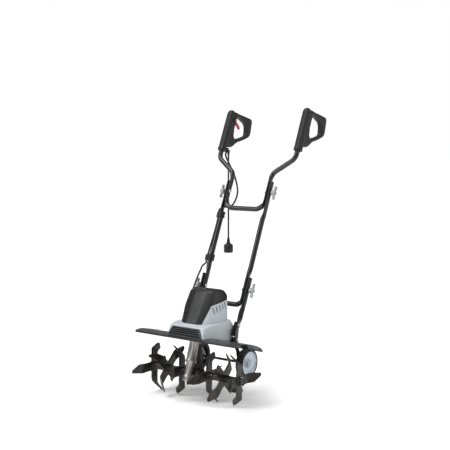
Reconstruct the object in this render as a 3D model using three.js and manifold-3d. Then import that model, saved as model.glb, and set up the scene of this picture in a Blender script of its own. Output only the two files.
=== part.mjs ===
// Electric garden tiller: leaning motor head over six tine stars, worm drive, rear wheels and a
// folding three-piece tube handle with two D grips. Millimetres, +Z up, X across the machine,
// front towards -Y; "right" in a mesh name is the +X side.
// The origin is on the ground, at the middle of the footprint.
import * as THREE from 'three';
import { mergeVertices } from 'three/addons/utils/BufferGeometryUtils.js';
import { ConvexGeometry } from 'three/addons/geometries/ConvexGeometry.js';
import Module from 'manifold-3d';

const wasm = await Module();
wasm.setup();

// ---------------------------------------------------------------- shared dimensions
const FOOTPRINT_SHIFT = -272.2;   // y of the tine axle from the middle of the footprint
const AXLE_Z = 100;
const AXLE_R = 10;
const GAP = 0.3;                  // clearance between fitted parts

// [y, z] of joints, and leans in degrees back from upright
const MOTOR_TOP = [-4, 224];      // station 0 of the motor and worm line
const MOTOR_LEAN = 17.87;
const LOWER_PIVOT = [188, 403];
const UPPER_PIVOT = [350.7, 773];
const MID_LEAN = 23.75;           // legs and middle frame
const TOP_LEAN = 24.5;            // upper handle
const WHEEL_CENTRE = [175, 119];
const BRACKET_TOP = [117, 217];   // where the wheel bracket passes through the legs

const WORM_TUBE_R = 17;
const WHEEL_AXLE_R = 5;
const TUBE_R = 10;                // handle tubes
const TUBE_WALL = 1.5;
const BOLT_R = 3.5;
const BOLT_HOLE_R = BOLT_R + 0.4;
const GRIP_X = 187;

// ---------------------------------------------------------------- solids and meshes
const DEG = Math.PI / 180;
const { smoothstep } = THREE.MathUtils;
const vec = (x, y, z) => new THREE.Vector3(x, y, z);
const ACROSS = vec(1, 0, 0);

const manifold = (positions, triangles) => new wasm.Manifold(new wasm.Mesh({
  numProp: 3,
  vertProperties: new Float32Array(positions),
  triVerts: new Uint32Array(triangles),
}));

function flipTriangles(triangles) {
  for (let i = 0; i < triangles.length; i += 3) {
    [triangles[i + 1], triangles[i + 2]] = [triangles[i + 2], triangles[i + 1]];
  }
}

// a closed three.js geometry as a solid with its faces pointing out
function solid(geometry) {
  const bare = geometry.clone();
  for (const name of Object.keys(bare.attributes)) {
    if (name !== 'position') bare.deleteAttribute(name);
  }
  const welded = mergeVertices(bare, 1e-3);
  const position = welded.attributes.position;
  const index = welded.index.array;
  const corner = (i) => vec(0, 0, 0).fromBufferAttribute(position, i);
  const triangles = [];
  let sixVolumes = 0;
  for (let i = 0; i < index.length; i += 3) {
    const [a, b, c] = index.slice(i, i + 3);
    if (a === b || b === c || c === a) continue;
    triangles.push(a, b, c);
    sixVolumes += corner(a).dot(corner(b).cross(corner(c)));
  }
  if (sixVolumes < 0) flipTriangles(triangles);
  return manifold(position.array, triangles);
}

function geometryOf(body) {
  const mesh = body.getMesh();
  const geometry = new THREE.BufferGeometry();
  geometry.setAttribute('position', new THREE.Float32BufferAttribute(mesh.vertProperties, 3));
  geometry.setIndex(Array.from(mesh.triVerts));
  geometry.computeVertexNormals();
  return geometry;
}

// the same body on the other side of x = 0
function mirrored(body) {
  const mesh = body.getMesh();
  const positions = Float32Array.from(mesh.vertProperties);
  for (let i = 0; i < positions.length; i += 3) positions[i] = -positions[i];
  const triangles = Uint32Array.from(mesh.triVerts);
  flipTriangles(triangles);
  return manifold(positions, triangles);
}

const join = (...parts) => parts.reduce((a, b) => a.add(b));
const cut = (body, ...tools) => tools.reduce((a, b) => a.subtract(b), body);

// ---------------------------------------------------------------- leaning frames
// A plane across the machine through origin [y, z], leaning back by `lean` degrees.
// Its coordinates are x, rise (along the leaning axis) and back (square to it, to the rear).
function frameAt([y0, z0], lean) {
  const sin = Math.sin(lean * DEG);
  const cos = Math.cos(lean * DEG);
  const riseAxis = vec(0, sin, cos);
  const backAxis = vec(0, cos, -sin);
  return {
    riseAxis,
    backAxis,
    at: (x, rise = 0, back = 0) =>
      vec(x, y0 + rise * sin + back * cos, z0 + rise * cos - back * sin),
    toLocal: ({ x, y, z }) =>
      [x, (y - y0) * sin + (z - z0) * cos, (y - y0) * cos - (z - z0) * sin],
    matrix: new THREE.Matrix4().makeBasis(backAxis, riseAxis, ACROSS).setPosition(0, y0, z0),
  };
}

const WORLD = frameAt([0, 0], 0);          // back is y, rise is z
const AXLE = frameAt([0, AXLE_Z], 0);
const WHEEL = frameAt(WHEEL_CENTRE, 0);
const MOTOR = frameAt(MOTOR_TOP, MOTOR_LEAN);
const MID = frameAt(LOWER_PIVOT, MID_LEAN);
const TOP = frameAt(UPPER_PIVOT, TOP_LEAN);

// ---------------------------------------------------------------- basic shapes
// turns +Y onto a direction
const toward = (direction) =>
  new THREE.Quaternion().setFromUnitVectors(vec(0, 1, 0), direction.clone().normalize());

function rod(from, to, radius, sides) {
  const run = to.clone().sub(from);
  const geometry = new THREE.CylinderGeometry(radius, radius, run.length(), sides);
  geometry.applyQuaternion(toward(run));
  geometry.translate((from.x + to.x) / 2, (from.y + to.y) / 2, (from.z + to.z) / 2);
  return solid(geometry);
}

// a rod parallel to X
const crossRod = (frame, x0, x1, radius, sides, rise = 0, back = 0) =>
  rod(frame.at(x0, rise, back), frame.at(x1, rise, back), radius, sides);

// profile of [radius, distance] turned about the line from `start` along `direction`
function turned(profile, start, direction, sides) {
  const points = profile.map(([radius, distance]) => new THREE.Vector2(radius, distance));
  const geometry = new THREE.LatheGeometry(points, sides);
  geometry.applyQuaternion(toward(direction));
  geometry.translate(start.x, start.y, start.z);
  return solid(geometry);
}
const turnedAcross = (profile, frame, sides) => turned(profile, frame.at(0), ACROSS, sides);
const turnedOnShaft = (profile, sides) => turned(profile, MOTOR.at(0), MOTOR.riseAxis, sides);

const discProfile = (radius, from, to) => [[0, from], [radius, from], [radius, to], [0, to]];
const sleeveProfile = (bore, radius, from, to) =>
  [[bore, from], [radius, from], [radius, to], [bore, to], [bore, from]];

// convex body over [x, y, z] points and their mirror images
const symmetricHull = (points) =>
  solid(new ConvexGeometry(points.flatMap(([x, y, z]) => [vec(x, y, z), vec(-x, y, z)])));

const path2 = (points) => points.map(([a, b]) => new THREE.Vector2(a, b));

// holes are wound against the outline
function shapeOf(points, holes) {
  const shape = new THREE.Shape(path2(points));
  for (const hole of holes) shape.holes.push(new THREE.Path(path2(hole)));
  return shape;
}

// outline of [back, rise] pairs in a frame, given thickness from x0 to x1
function plate(outline, x0, x1, frame = WORLD, { holes = [], bevel = 0 } = {}) {
  const geometry = new THREE.ExtrudeGeometry(shapeOf(outline, holes), {
    depth: x1 - x0 - 2 * bevel,
    bevelEnabled: bevel > 0,
    bevelThickness: bevel,
    bevelSize: bevel,
    bevelOffset: -bevel,
    bevelSegments: 1,
  });
  geometry.translate(0, 0, x0 + bevel);
  geometry.applyMatrix4(frame.matrix);
  return solid(geometry);
}

const block = (x0, x1, back0, back1, rise0, rise1, frame) =>
  plate([[back0, rise0], [back0, rise1], [back1, rise1], [back1, rise0]], x0, x1, frame);

const circle = (radius, sides, centreA = 0, centreB = 0) => Array.from({ length: sides }, (_, i) => {
  const angle = (2 * Math.PI * i) / sides;
  return [centreA + radius * Math.cos(angle), centreB + radius * Math.sin(angle)];
});
const roundHole = (...circleArgs) => circle(...circleArgs).reverse();

// ---------------------------------------------------------------- tubes and cables
const QUARTER_STEPS = 5;          // arc steps in a 90 degree bend

// rounds the inner corners of a polyline, one radius per corner
function rounded(points, radii) {
  const line = [points[0]];
  radii.forEach((radius, i) => {
    const corner = points[i + 1];
    const before = points[i].clone().sub(corner);
    const after = points[i + 2].clone().sub(corner);
    const room = 0.49 * Math.min(before.length(), after.length());
    before.normalize();
    after.normalize();
    const angle = Math.PI - before.angleTo(after);
    const setback = Math.min(radius * Math.tan(angle / 2), room);
    const arcRadius = setback / Math.tan(angle / 2);
    const bisector = before.clone().add(after).normalize();
    const centre = corner.clone().addScaledVector(bisector, Math.hypot(arcRadius, setback));
    const spoke = corner.clone().addScaledVector(before, setback).sub(centre);
    const axis = after.clone().cross(before).normalize();
    const steps = Math.max(2, Math.round(QUARTER_STEPS * angle / (Math.PI / 2)));
    for (let k = 0; k <= steps; k++) {
      line.push(spoke.clone().applyAxisAngle(axis, angle * k / steps).add(centre));
    }
  });
  line.push(points[points.length - 1]);
  return line;
}

// the right half of a line with its mirror image, from left to right
const bothSides = (right) => [...right.map((p) => vec(-p.x, p.y, p.z)).reverse(), ...right];

// an extrusion path with one step per given point, so a straight run costs one step
class Route extends THREE.Curve {
  constructor(points) {
    super();
    this.points = points;
  }

  getPointAt(fraction) {
    return this.points[Math.round(fraction * (this.points.length - 1))];
  }

  getTangentAt(fraction) {
    const last = this.points.length - 1;
    const i = Math.round(fraction * last);
    const here = this.points[i];
    const tangent = vec(0, 0, 0);
    if (i > 0) tangent.add(here.clone().sub(this.points[i - 1]).normalize());
    if (i < last) tangent.add(this.points[i + 1].clone().sub(here).normalize());
    return tangent.normalize();
  }
}

// geometry of a round bar along a line, or of a tube if it has a wall
function swept(points, radius, sides, wall = 0) {
  const holes = wall > 0 ? [roundHole(radius - wall, sides / 2)] : [];
  return new THREE.ExtrudeGeometry(shapeOf(circle(radius, sides), holes), {
    steps: points.length - 1,
    extrudePath: new Route(points),
    bevelEnabled: false,
  });
}

// Squeezes tubes in x and widens them in back. Each zone is fully pressed in rise from..to,
// fades over `ramp`, and closes on |x| = centre to a half width of `half`.
function pressFlat(geometry, radius, frame, zones) {
  const position = geometry.attributes.position;
  const point = vec(0, 0, 0);
  for (let i = 0; i < position.count; i++) {
    point.fromBufferAttribute(position, i);
    let [x, rise, back] = frame.toLocal(point);
    for (const { from, to, ramp, centre, half } of zones) {
      if (Math.abs(Math.abs(x) - centre) > radius + 4) continue;
      const press = Math.min(
        smoothstep(rise, from - ramp, from),
        1 - smoothstep(rise, to, to + ramp),
      );
      const squeeze = press * (1 - half / radius);
      x = Math.sign(x) * (centre + (Math.abs(x) - centre) * (1 - squeeze));
      back *= 1 + 0.35 * squeeze;
    }
    point.copy(frame.at(x, rise, back));
    position.setXYZ(i, point.x, point.y, point.z);
  }
}

function pressedTube(line, radius, wall, frame, zones) {
  const geometry = swept(line, radius, 12, wall);
  pressFlat(geometry, radius, frame, zones);
  return solid(geometry);
}

// ---------------------------------------------------------------- scene graph and finishes
const tiller = new THREE.Group();
const machine = new THREE.Group();
machine.position.set(0, FOOTPRINT_SHIFT, 0);
tiller.add(machine);

const FINISHES = {
  black_tube: { color: 0x1b1b1d, roughness: 0.45, metalness: 0.3 },
  black_plastic: { color: 0x2a2a2c, roughness: 0.6, metalness: 0 },
  grey_plastic: { color: 0xb9c0c4, roughness: 0.5, metalness: 0 },
  red_plastic: { color: 0xc01f1a, roughness: 0.45, metalness: 0 },
  cast: { color: 0xb8b6b0, roughness: 0.4, metalness: 0.9 },
  dark_cast: { color: 0x3a3a38, roughness: 0.55, metalness: 0.7 },
  blade: { color: 0x26272a, roughness: 0.4, metalness: 0.6 },
  steel: { color: 0xc9ccd0, roughness: 0.25, metalness: 1 },
  copper: { color: 0xb87333, roughness: 0.4, metalness: 0.9 },
  brass: { color: 0xb59a50, roughness: 0.35, metalness: 0.9 },
  rubber: { color: 0x1a1a1a, roughness: 0.9, metalness: 0 },
  silver_plastic: { color: 0xc8ccd0, roughness: 0.35, metalness: 0.2 },
};
const MATERIALS = Object.fromEntries(Object.entries(FINISHES)
  .map(([name, finish]) => [name, new THREE.MeshStandardMaterial(finish)]));

function add(name, body, material) {
  const mesh = new THREE.Mesh(geometryOf(body), MATERIALS[material]);
  mesh.name = name;
  machine.add(mesh);
}

// a +X piece and its mirror image
function addPair(name, body, material) {
  add(`${name}_right`, body, material);
  add(`${name}_left`, mirrored(body), material);
}

// ---------------------------------------------------------------- tine guard
const GUARD_HALF = 240;
const GUARD_T = 3;
// [y, z] of the guard's upper face, front to rear
const GUARD_LINE = [
  [-78, 243], [-76, 249.5], [-38, 250.5], [-10, 246], [15, 240],
  [40, 232.5], [63, 224], [90, 211], [108, 199.6], [116, 192],
];

// the line moved down square to itself, in reverse order
function lineBelow(line, depth) {
  return line.map(([y, z], i) => {
    const [yBefore, zBefore] = line[Math.max(i - 1, 0)];
    const [yAfter, zAfter] = line[Math.min(i + 1, line.length - 1)];
    const length = Math.hypot(yAfter - yBefore, zAfter - zBefore);
    return [
      y + (zAfter - zBefore) / length * depth,
      z - (yAfter - yBefore) / length * depth,
    ];
  }).reverse();
}

const wormTubeRod = (radius) => rod(MOTOR.at(0, 60), MOTOR.at(0, -60), radius, 24);
const tubeClearance = wormTubeRod(WORM_TUBE_R + 2);
const guardSheet = plate([...GUARD_LINE, ...lineBelow(GUARD_LINE, GUARD_T)],
  -GUARD_HALF, GUARD_HALF);
add('tine_guard', cut(guardSheet, tubeClearance), 'black_plastic');

// ---------------------------------------------------------------- motor housing and cover
const HOUSING_WALL = 3.5;
// [x, y, z] corners of the two overlapping hulls, right side only
const LOWER_HULL = [
  [85, -66, 249], [80, -52, 289], [85, -20, 294], [88, -20, 250], [89, 60, 290],
  [82, 108, 298], [88, 126, 276], [88, 128, 205], [80, 116, 297], [89, 60, 215],
];
const UPPER_HULL = [
  [46, -33, 288], [47, 38, 409], [60, -12, 288], [61, 18, 360], [58, 46, 409], [60, 82, 417],
  [70, 92, 412], [76, 104, 393], [76, 106, 288], [36, 45, 415], [75, 62, 360], [75, 45, 288],
];

// everything under the guard's upper face, and a little above it
const underGuard = plate([
  ...GUARD_LINE.map(([y, z]) => [y, z + GAP + 0.2]),
  [200, 184], [200, 100], [-200, 100], [-200, 243],
], -300, 300);

const lowerCavity = symmetricHull(LOWER_HULL.map(([x, y, z]) => [
  x * 0.96,
  y > 30 ? y - HOUSING_WALL : y + HOUSING_WALL,
  z > 270 ? z - HOUSING_WALL : z,
]));

// shrinks in y about 45; the roof drops by a wall and the foot reaches into the lower hull
function cavityHeight(z) {
  if (z > 380) return z - HOUSING_WALL;
  return z > 300 ? z : z - 12;
}
const upperCavity = symmetricHull(UPPER_HULL.map(([x, y, z]) =>
  [x * 0.945, 45 + (y - 45) * 0.93, cavityHeight(z)]));

// the region of the cover, with its lower edge moved in by `gap`
const coverRegion = (gap) => plate([
  [-90, 295 + gap], [-22 - gap, 295 + gap], [20 - gap, 360 + gap], [106, 377 + gap],
  [160, 385 + gap], [160, 470], [-90, 470],
], -200, 200);

const upperBody = symmetricHull(UPPER_HULL);
const frontWindow = block(-56, 56, -80, -40, 253, 282);
const housingBody = join(symmetricHull(LOWER_HULL), cut(upperBody, coverRegion(0)));
add('motor_housing',
  cut(housingBody, lowerCavity, upperCavity, underGuard, tubeClearance, frontWindow),
  'grey_plastic');

const cableHole = rod(vec(-58, 85, 388), vec(-72, 113, 404.5), 6.5, 12);
add('motor_cover', cut(upperBody.intersect(coverRegion(GAP)), upperCavity, cableHole),
  'black_plastic');

// ---------------------------------------------------------------- front grille
function frontGrille() {
  const face = frameAt([-66.6, 249.6], 13);
  // [x, rise]
  const outline = [[-83, 1], [83, 1], [61, 37], [-61, 37]];
  const slots = [0, 1, 2, 3, 4].map((i) => {
    const rise = 5 + i * 6.2;
    const half = 74 - i * 3.9;
    return [[-half, rise], [-half + 1.5, rise + 3], [half - 1.5, rise + 3], [half, rise]];
  });
  const geometry = new THREE.ExtrudeGeometry(shapeOf(outline, slots), {
    depth: 4,
    bevelEnabled: false,
  });
  const forward = face.backAxis.clone().negate();
  geometry.applyMatrix4(new THREE.Matrix4()
    .makeBasis(ACROSS, face.riseAxis, forward)
    .setPosition(face.at(0, 0, -0.6)));
  return cut(solid(geometry), underGuard);
}
add('front_grille', frontGrille(), 'black_plastic');

// ---------------------------------------------------------------- motor and worm shaft
// distances along the shaft are up from MOTOR_TOP
const SHAFT_R = 5;
const SHAFT_FIT_R = SHAFT_R + GAP;
const WORM_R = 9;
const WORM_RINGS = 5;
const WORM_PITCH = 7.6;

// stands a geometry made along +Y on the motor line
const standOnShaft = (geometry) =>
  solid(geometry.applyQuaternion(toward(MOTOR.riseAxis)).translate(0, ...MOTOR_TOP));

function coolingFan() {
  const disc = turnedOnShaft([
    [SHAFT_FIT_R, 97], [24, 97], [24, 99], [9, 99], [9, 109], [SHAFT_FIT_R, 109],
    [SHAFT_FIT_R, 97],
  ], 16);
  const vanes = Array.from({ length: 6 }, (_, i) => standOnShaft(
    new THREE.BoxGeometry(14, 10.5, 1.6).translate(15.5, 103.6, 0).rotateY(i * Math.PI / 3)));
  return join(disc, ...vanes);
}

// the worm is drawn as separate rings
function wormShaft() {
  const profile = [[0, -140], [SHAFT_R, -140]];
  for (let i = 0; i < WORM_RINGS; i++) {
    const shift = i * WORM_PITCH;
    profile.push([6, -136 + shift], [WORM_R, -133.6 + shift], [WORM_R, -131.8 + shift]);
  }
  profile.push([SHAFT_R, -97], [SHAFT_R, 124], [0, 124]);
  return turnedOnShaft(profile, 12);
}

add('motor_stator', turnedOnShaft(sleeveProfile(22, 31, 28, 84), 18), 'steel');
add('rotor_core', turnedOnShaft([
  [SHAFT_FIT_R, 30], [20.5, 30], [20.5, 78], [14, 80], [14, 92], [SHAFT_FIT_R, 92],
  [SHAFT_FIT_R, 30],
], 16), 'copper');
add('cooling_fan', coolingFan(), 'black_plastic');
add('worm_shaft', wormShaft(), 'steel');
add('lower_motor_bearing', turnedOnShaft(sleeveProfile(5.4, 11.6, 2, 12), 14), 'steel');
add('upper_motor_bearing', turnedOnShaft(sleeveProfile(5.4, 11, 112, 119), 14), 'steel');

// ---------------------------------------------------------------- worm tube
const WORM_BORE = 12;
const RIB_ANGLES = [-62, -14, 34];
const WORM_TUBE_PROFILE = [
  [WORM_BORE, 20], [26, 20], [26, 15], [WORM_TUBE_R, 12], [WORM_TUBE_R, -70], [21, -72],
  [21, -79], [16, -82], [15.5, -128], [19, -131], [19, -141.5], [WORM_BORE, -141.5],
  [WORM_BORE, 20],
];
const wormWheelRoom = crossRod(AXLE, -10.5, 10.5, 34, 24);

function wormTube() {
  const ribs = RIB_ANGLES.map((angle) => standOnShaft(new THREE.BoxGeometry(3.2, 80, 3)
    .translate(0, -30, WORM_TUBE_R + 0.6)
    .rotateY(angle * DEG + Math.PI)));
  // cuts the ribs and flange at the guard and above, and leaves the tube whole
  const aboveGuard = plate([
    ...GUARD_LINE.map(([y, z]) => [y, z - GUARD_T - 3]),
    [200, 170], [200, 400], [-200, 400], [-200, 240],
  ], -60, 60);
  const trim = aboveGuard
    .intersect(block(-60, 60, -78, 123, 100, 400))
    .subtract(wormTubeRod(WORM_TUBE_R + 0.5));
  return cut(join(turnedOnShaft(WORM_TUBE_PROFILE, 18), ...ribs), wormWheelRoom, trim);
}
add('worm_tube', wormTube(), 'cast');
add('worm_tube_cap',
  turnedOnShaft([[0, -142], [20, -142], [20, -147], [14, -151], [0, -152]], 18), 'cast');

// ---------------------------------------------------------------- gear case
function gearCase() {
  const shell = join(
    turnedAcross([[0, -15], [38, -15], [41, -11], [41, 11], [38, 15], [0, 15]], AXLE, 20),
    turnedAcross([[0, -30], [18.5, -30], [20, -14], [20, 14], [18.5, 30], [0, 30]], AXLE, 16),
    plate([[-4, 128], [15, 146], [17, 205], [33, 205], [36, 150], [36, 112]], -9, 9),
  );
  return cut(
    shell,
    wormWheelRoom,
    crossRod(AXLE, -40, 40, AXLE_R + 0.9, 14),
    turnedAcross(discProfile(16.3, -26.3, -15.7), AXLE, 14),
    turnedAcross(discProfile(16.3, 15.7, 26.3), AXLE, 14),
    turnedOnShaft([
      [0, 30], [WORM_TUBE_R + 3.2, 30], [WORM_TUBE_R + 3.4, -70], [21.8, -71], [21.8, -160],
      [0, -160],
    ], 18),
  );
}
const gearCaseBody = gearCase();
add('gear_case_right', gearCaseBody.intersect(block(0.2, 60, -100, 100, 0, 300)), 'dark_cast');
add('gear_case_left', gearCaseBody.intersect(block(-60, -0.2, -100, 100, 0, 300)), 'dark_cast');
addPair('axle_bearing', turnedAcross(sleeveProfile(AXLE_R + GAP, 16, 16, 26), AXLE, 14), 'steel');

// ---------------------------------------------------------------- tine axle and worm wheel
const AXLE_HALF = 219;
const PIN_X = 213;
const PIN_R = 3;
const uprightPin = (x, radius, half) => rod(AXLE.at(x, -half), AXLE.at(x, half), radius, 10);
const pinHole = (side) => uprightPin(side * PIN_X, PIN_R + 0.4, 19);

add('tine_axle',
  cut(crossRod(AXLE, -AXLE_HALF, AXLE_HALF, AXLE_R, 16), pinHole(-1), pinHole(1)), 'dark_cast');

const WORM_WHEEL_R = 32.2;
const WORM_WHEEL_ROOT_R = WORM_WHEEL_R - 3;
const WORM_WHEEL_TEETH = 28;
// [radius, place in tooth pitches from the tooth's middle]
const TOOTH = [
  [WORM_WHEEL_ROOT_R, -0.28], [WORM_WHEEL_R, -0.12],
  [WORM_WHEEL_R, 0.12], [WORM_WHEEL_ROOT_R, 0.28],
];

function wormWheel() {
  const outline = [];
  for (let i = 0; i < WORM_WHEEL_TEETH; i++) {
    for (const [radius, place] of TOOTH) {
      const angle = ((i + place) * 2 * Math.PI) / WORM_WHEEL_TEETH;
      outline.push([radius * Math.cos(angle), radius * Math.sin(angle) + AXLE_Z]);
    }
  }
  return plate(outline, -7, 7, WORLD, { holes: [roundHole(AXLE_R + GAP, 16, 0, AXLE_Z)] });
}
add('worm_wheel', wormWheel(), 'brass');

// ---------------------------------------------------------------- tine stars
const HUB_R = 14;
const BLADE_W = 36;
const BLADE_T = 5;
const BLADE_BEND = 58;            // degrees out of the upright
// x: middle; turn: degrees about the axle; lean: side the first blade's tip leans to;
// hubHalf: half length of the hub
const STARS = [
  { x: -203, turn: 0, lean: 1, hubHalf: 18 },
  { x: -134, turn: 45, lean: 1, hubHalf: 25 },
  { x: -65, turn: 0, lean: -1, hubHalf: 25 },
  { x: 65, turn: 0, lean: 1, hubHalf: 25 },
  { x: 134, turn: 45, lean: -1, hubHalf: 25 },
  { x: 203, turn: 0, lean: -1, hubHalf: 18 },
];
const hullOf = (points) => solid(new ConvexGeometry(points));

// one blade pointing up from the origin, bent on a slanting line so its tip leans to one side
function blade(lean) {
  const half = BLADE_W / 2;
  const bend = BLADE_BEND * DEG;
  const bendStart = vec(0, -half, 76);
  const bendEnd = vec(0, half, 52);
  const bendLine = bendEnd.clone().sub(bendStart).normalize();
  const mitreNormal = ACROSS.clone().applyAxisAngle(bendLine, bend / 2);
  const tipNormal = ACROSS.clone().applyAxisAngle(bendLine, bend);
  const thicken = (points, normal, offset) => points.flatMap((p) =>
    [p.clone().addScaledVector(normal, offset), p.clone().addScaledVector(normal, -offset)]);

  const root = thicken([vec(0, -half, 6), vec(0, half, 6)], ACROSS, BLADE_T / 2);
  const seam = thicken([bendStart, bendEnd], mitreNormal, BLADE_T / 2 / Math.cos(bend / 2));
  // the tip's outer edge as [y, z] before bending
  const tipEdge = [[-half, 108.9], [-half + 10, 107.4], [half - 8, 83], [half, 68]].map(([y, z]) =>
    vec(0, y, z).sub(bendStart).applyAxisAngle(bendLine, bend).add(bendStart));
  const tip = thicken(tipEdge, tipNormal, BLADE_T / 2);
  // the bent part reaches a little into the upright part
  const overlap = seam.map((p) => vec(p.x * 0.98, p.y, p.z - 0.8));
  const body = join(hullOf([...root, ...seam]), hullOf([...overlap, ...seam, ...tip]));
  return lean > 0 ? body : mirrored(body);
}

function tineStar({ x, turn, lean, hubHalf }) {
  const hub = turned(sleeveProfile(AXLE_R + 0.4, HUB_R, -hubHalf, hubHalf),
    vec(0, 0, 0), ACROSS, 14);
  const blades = [0, 1, 2, 3].map((k) => solid(
    geometryOf(blade((k % 2 ? -1 : 1) * lean)).rotateX((k * 90 + turn) * DEG)));
  const bore = crossRod(WORLD, -40, 40, AXLE_R + 0.5, 14);
  const star = cut(join(hub, join(...blades)), bore);
  return solid(geometryOf(star).translate(x, 0, AXLE_Z));
}

STARS.forEach((spec, i) => {
  const star = tineStar(spec);
  const isOutermost = i === 0 || i === STARS.length - 1;
  add(`tine_star_${i + 1}`, isOutermost ? cut(star, pinHole(Math.sign(spec.x))) : star, 'blade');
});
addPair('tine_pin', join(
  uprightPin(PIN_X, PIN_R, 17),
  rod(AXLE.at(PIN_X, 15), AXLE.at(PIN_X, 19), 5.5, 6),
), 'steel');

// ---------------------------------------------------------------- wheels
const WHEEL_R = 58;
const WHEEL_IN = 100;             // x of the tyre's inner face
const WHEEL_OUT = 132;            // x of the tyre's outer face

addPair('tyre', turnedAcross([
  [47.4, WHEEL_IN], [WHEEL_R - 3, WHEEL_IN], [WHEEL_R, WHEEL_IN + 5], [WHEEL_R, WHEEL_OUT - 5],
  [WHEEL_R - 3, WHEEL_OUT], [47.4, WHEEL_OUT], [47.4, WHEEL_IN],
], WHEEL, 26), 'rubber');

const wheelDisc = turnedAcross([
  [0, WHEEL_IN + 1], [12, WHEEL_IN + 1], [14, WHEEL_IN + 14], [42, WHEEL_IN + 14],
  [42, WHEEL_IN + 3], [47, WHEEL_IN + 3], [47, WHEEL_OUT - 1], [40, WHEEL_OUT - 6],
  [16, WHEEL_OUT - 10], [14, WHEEL_OUT + 3], [0, WHEEL_OUT + 3],
], WHEEL, 20);
addPair('wheel_disc', cut(wheelDisc, crossRod(WHEEL, 80, 150, WHEEL_AXLE_R + 0.5, 10)),
  'silver_plastic');
add('wheel_axle', crossRod(WHEEL, -137, 137, WHEEL_AXLE_R, 16), 'black_tube');

// ---------------------------------------------------------------- wheel bracket
const armRun = [WHEEL_CENTRE[0] - BRACKET_TOP[0], WHEEL_CENTRE[1] - BRACKET_TOP[1]];
const ARM_LENGTH = Math.hypot(...armRun);
// rise runs down the arm to the wheel axle, so back points forward and down
const ARM = frameAt(BRACKET_TOP, Math.atan2(...armRun) / DEG);

function wheelBracket() {
  const outline = [
    [-12, -6], [-9, -12], [9, -12], [12, -6], [12, 6], [5, 14], [5, 54], [12, 68],
    [12, ARM_LENGTH + 6], [8, ARM_LENGTH + 12], [-8, ARM_LENGTH + 12], [-12, ARM_LENGTH + 6],
  ];
  const arm = plate(outline, 90.2, 94.2, ARM, {
    holes: [roundHole(WHEEL_AXLE_R + 0.4, 16, 0, ARM_LENGTH)],
  });
  return join(
    arm,
    mirrored(arm),
    crossRod(ARM, -92, 92, 4.5, 10, 44, 6),
    crossRod(ARM, 92, 114, 4, 10),
    crossRod(ARM, -114, -92, 4, 10),
  );
}
add('wheel_bracket', wheelBracket(), 'black_tube');

// ---------------------------------------------------------------- lower legs
const LEG_R = 10.5;
const LEG_WALL = 2;
const LEG_BOLT_RISE = -143;
const LEG_STATIONS = [-213, -198, -184, -170, -150, -132, -110, -92, -76, -60, -30, 50];

const legBoltRod = (x0, x1, radius, sides) =>
  crossRod(MID, x0, x1, radius, sides, LEG_BOLT_RISE);

function lowerLeg() {
  const line = LEG_STATIONS.map((rise) => MID.at(
    106.5 + 4 * smoothstep(rise, -95, -40),
    rise,
    9 * (1 - smoothstep(rise, -205, -150)),
  ));
  const tube = pressedTube(line, LEG_R, LEG_WALL, MID, [
    { from: -235, to: -136, ramp: 24, centre: 104.6, half: 3.6 },
    { from: -62, to: 60, ramp: 22, centre: 110.6, half: 6.6 },
  ]);
  return cut(
    tube,
    crossRod(MID, 60, 160, BOLT_HOLE_R, 12),
    legBoltRod(80, 130, BOLT_HOLE_R, 12),
    crossRod(ARM, 80, 130, 4.5, 12),
  );
}

function legBracket() {
  const outline = [[-16, -184], [20, -184], [19, -150], [13, -128], [-10, -127], [-18, -150]];
  const holes = [roundHole(BOLT_HOLE_R, 10, 0, LEG_BOLT_RISE)];
  return cut(plate(outline, 89.8, 100.2, MID, { holes }), crossRod(ARM, 80, 130, 17, 16));
}

addPair('lower_leg', lowerLeg(), 'black_tube');
addPair('leg_bracket', legBracket(), 'black_tube');
addPair('leg_bolt', join(legBoltRod(90, 111, BOLT_R, 8), legBoltRod(110.4, 115, 7, 6)), 'steel');

// ---------------------------------------------------------------- middle frame
const MID_SPAN = Math.hypot(UPPER_PIVOT[0] - LOWER_PIVOT[0], UPPER_PIVOT[1] - LOWER_PIVOT[1]);
const MID_END = MID_SPAN + 47;
const MID_FOOT_X = 96.8;
const MID_STATIONS = [
  -6, 50, 68, 86, 120, 200,
  MID_SPAN - 122, MID_SPAN - 106, MID_SPAN - 92, MID_SPAN - 78, MID_END,
];
// x of the right tube's centre line, which steps outwards twice on the way up
const midX = (rise) => MID_FOOT_X
  + 4.2 * smoothstep(rise, 40, 95)
  + 4.3 * smoothstep(rise, MID_SPAN - 120, MID_SPAN - 80);

const upperBoltHole = crossRod(TOP, -160, 160, BOLT_HOLE_R, 12);

function midFrame() {
  const corner = rounded(
    [MID.at(0, -61), MID.at(MID_FOOT_X, -61), MID.at(MID_FOOT_X, -6)], [42]).slice(1, -1);
  const right = [...corner, ...MID_STATIONS.map((rise) => MID.at(midX(rise), rise))];
  const tube = pressedTube(bothSides(right), TUBE_R, TUBE_WALL, MID, [
    { from: -48, to: 54, ramp: 22, centre: MID_FOOT_X, half: 6.4 },
    { from: MID_SPAN - 86, to: MID_END + 20, ramp: 22, centre: 105.4, half: 5.4 },
  ]);
  return cut(tube, crossRod(MID, -160, 160, BOLT_HOLE_R, 12), upperBoltHole);
}
add('mid_frame', midFrame(), 'black_tube');

// ---------------------------------------------------------------- upper handle
function upperHandle() {
  // [x, rise] of the corners, from the middle of the bottom bar to the right grip
  const corners = [[0, -72], [94, -72], [94, 50], [98, 84], [GRIP_X, 150], [GRIP_X, 358]];
  const right = rounded(corners.map(([x, rise]) => TOP.at(x, rise)), [40, 60, 34, 40]).slice(1);
  const tube = pressedTube(bothSides(right), TUBE_R, TUBE_WALL, TOP, [
    { from: -56, to: 52, ramp: 18, centre: 93.7, half: 5.4 },
  ]);
  return cut(tube, upperBoltHole);
}
add('upper_handle', upperHandle(), 'black_tube');

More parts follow.
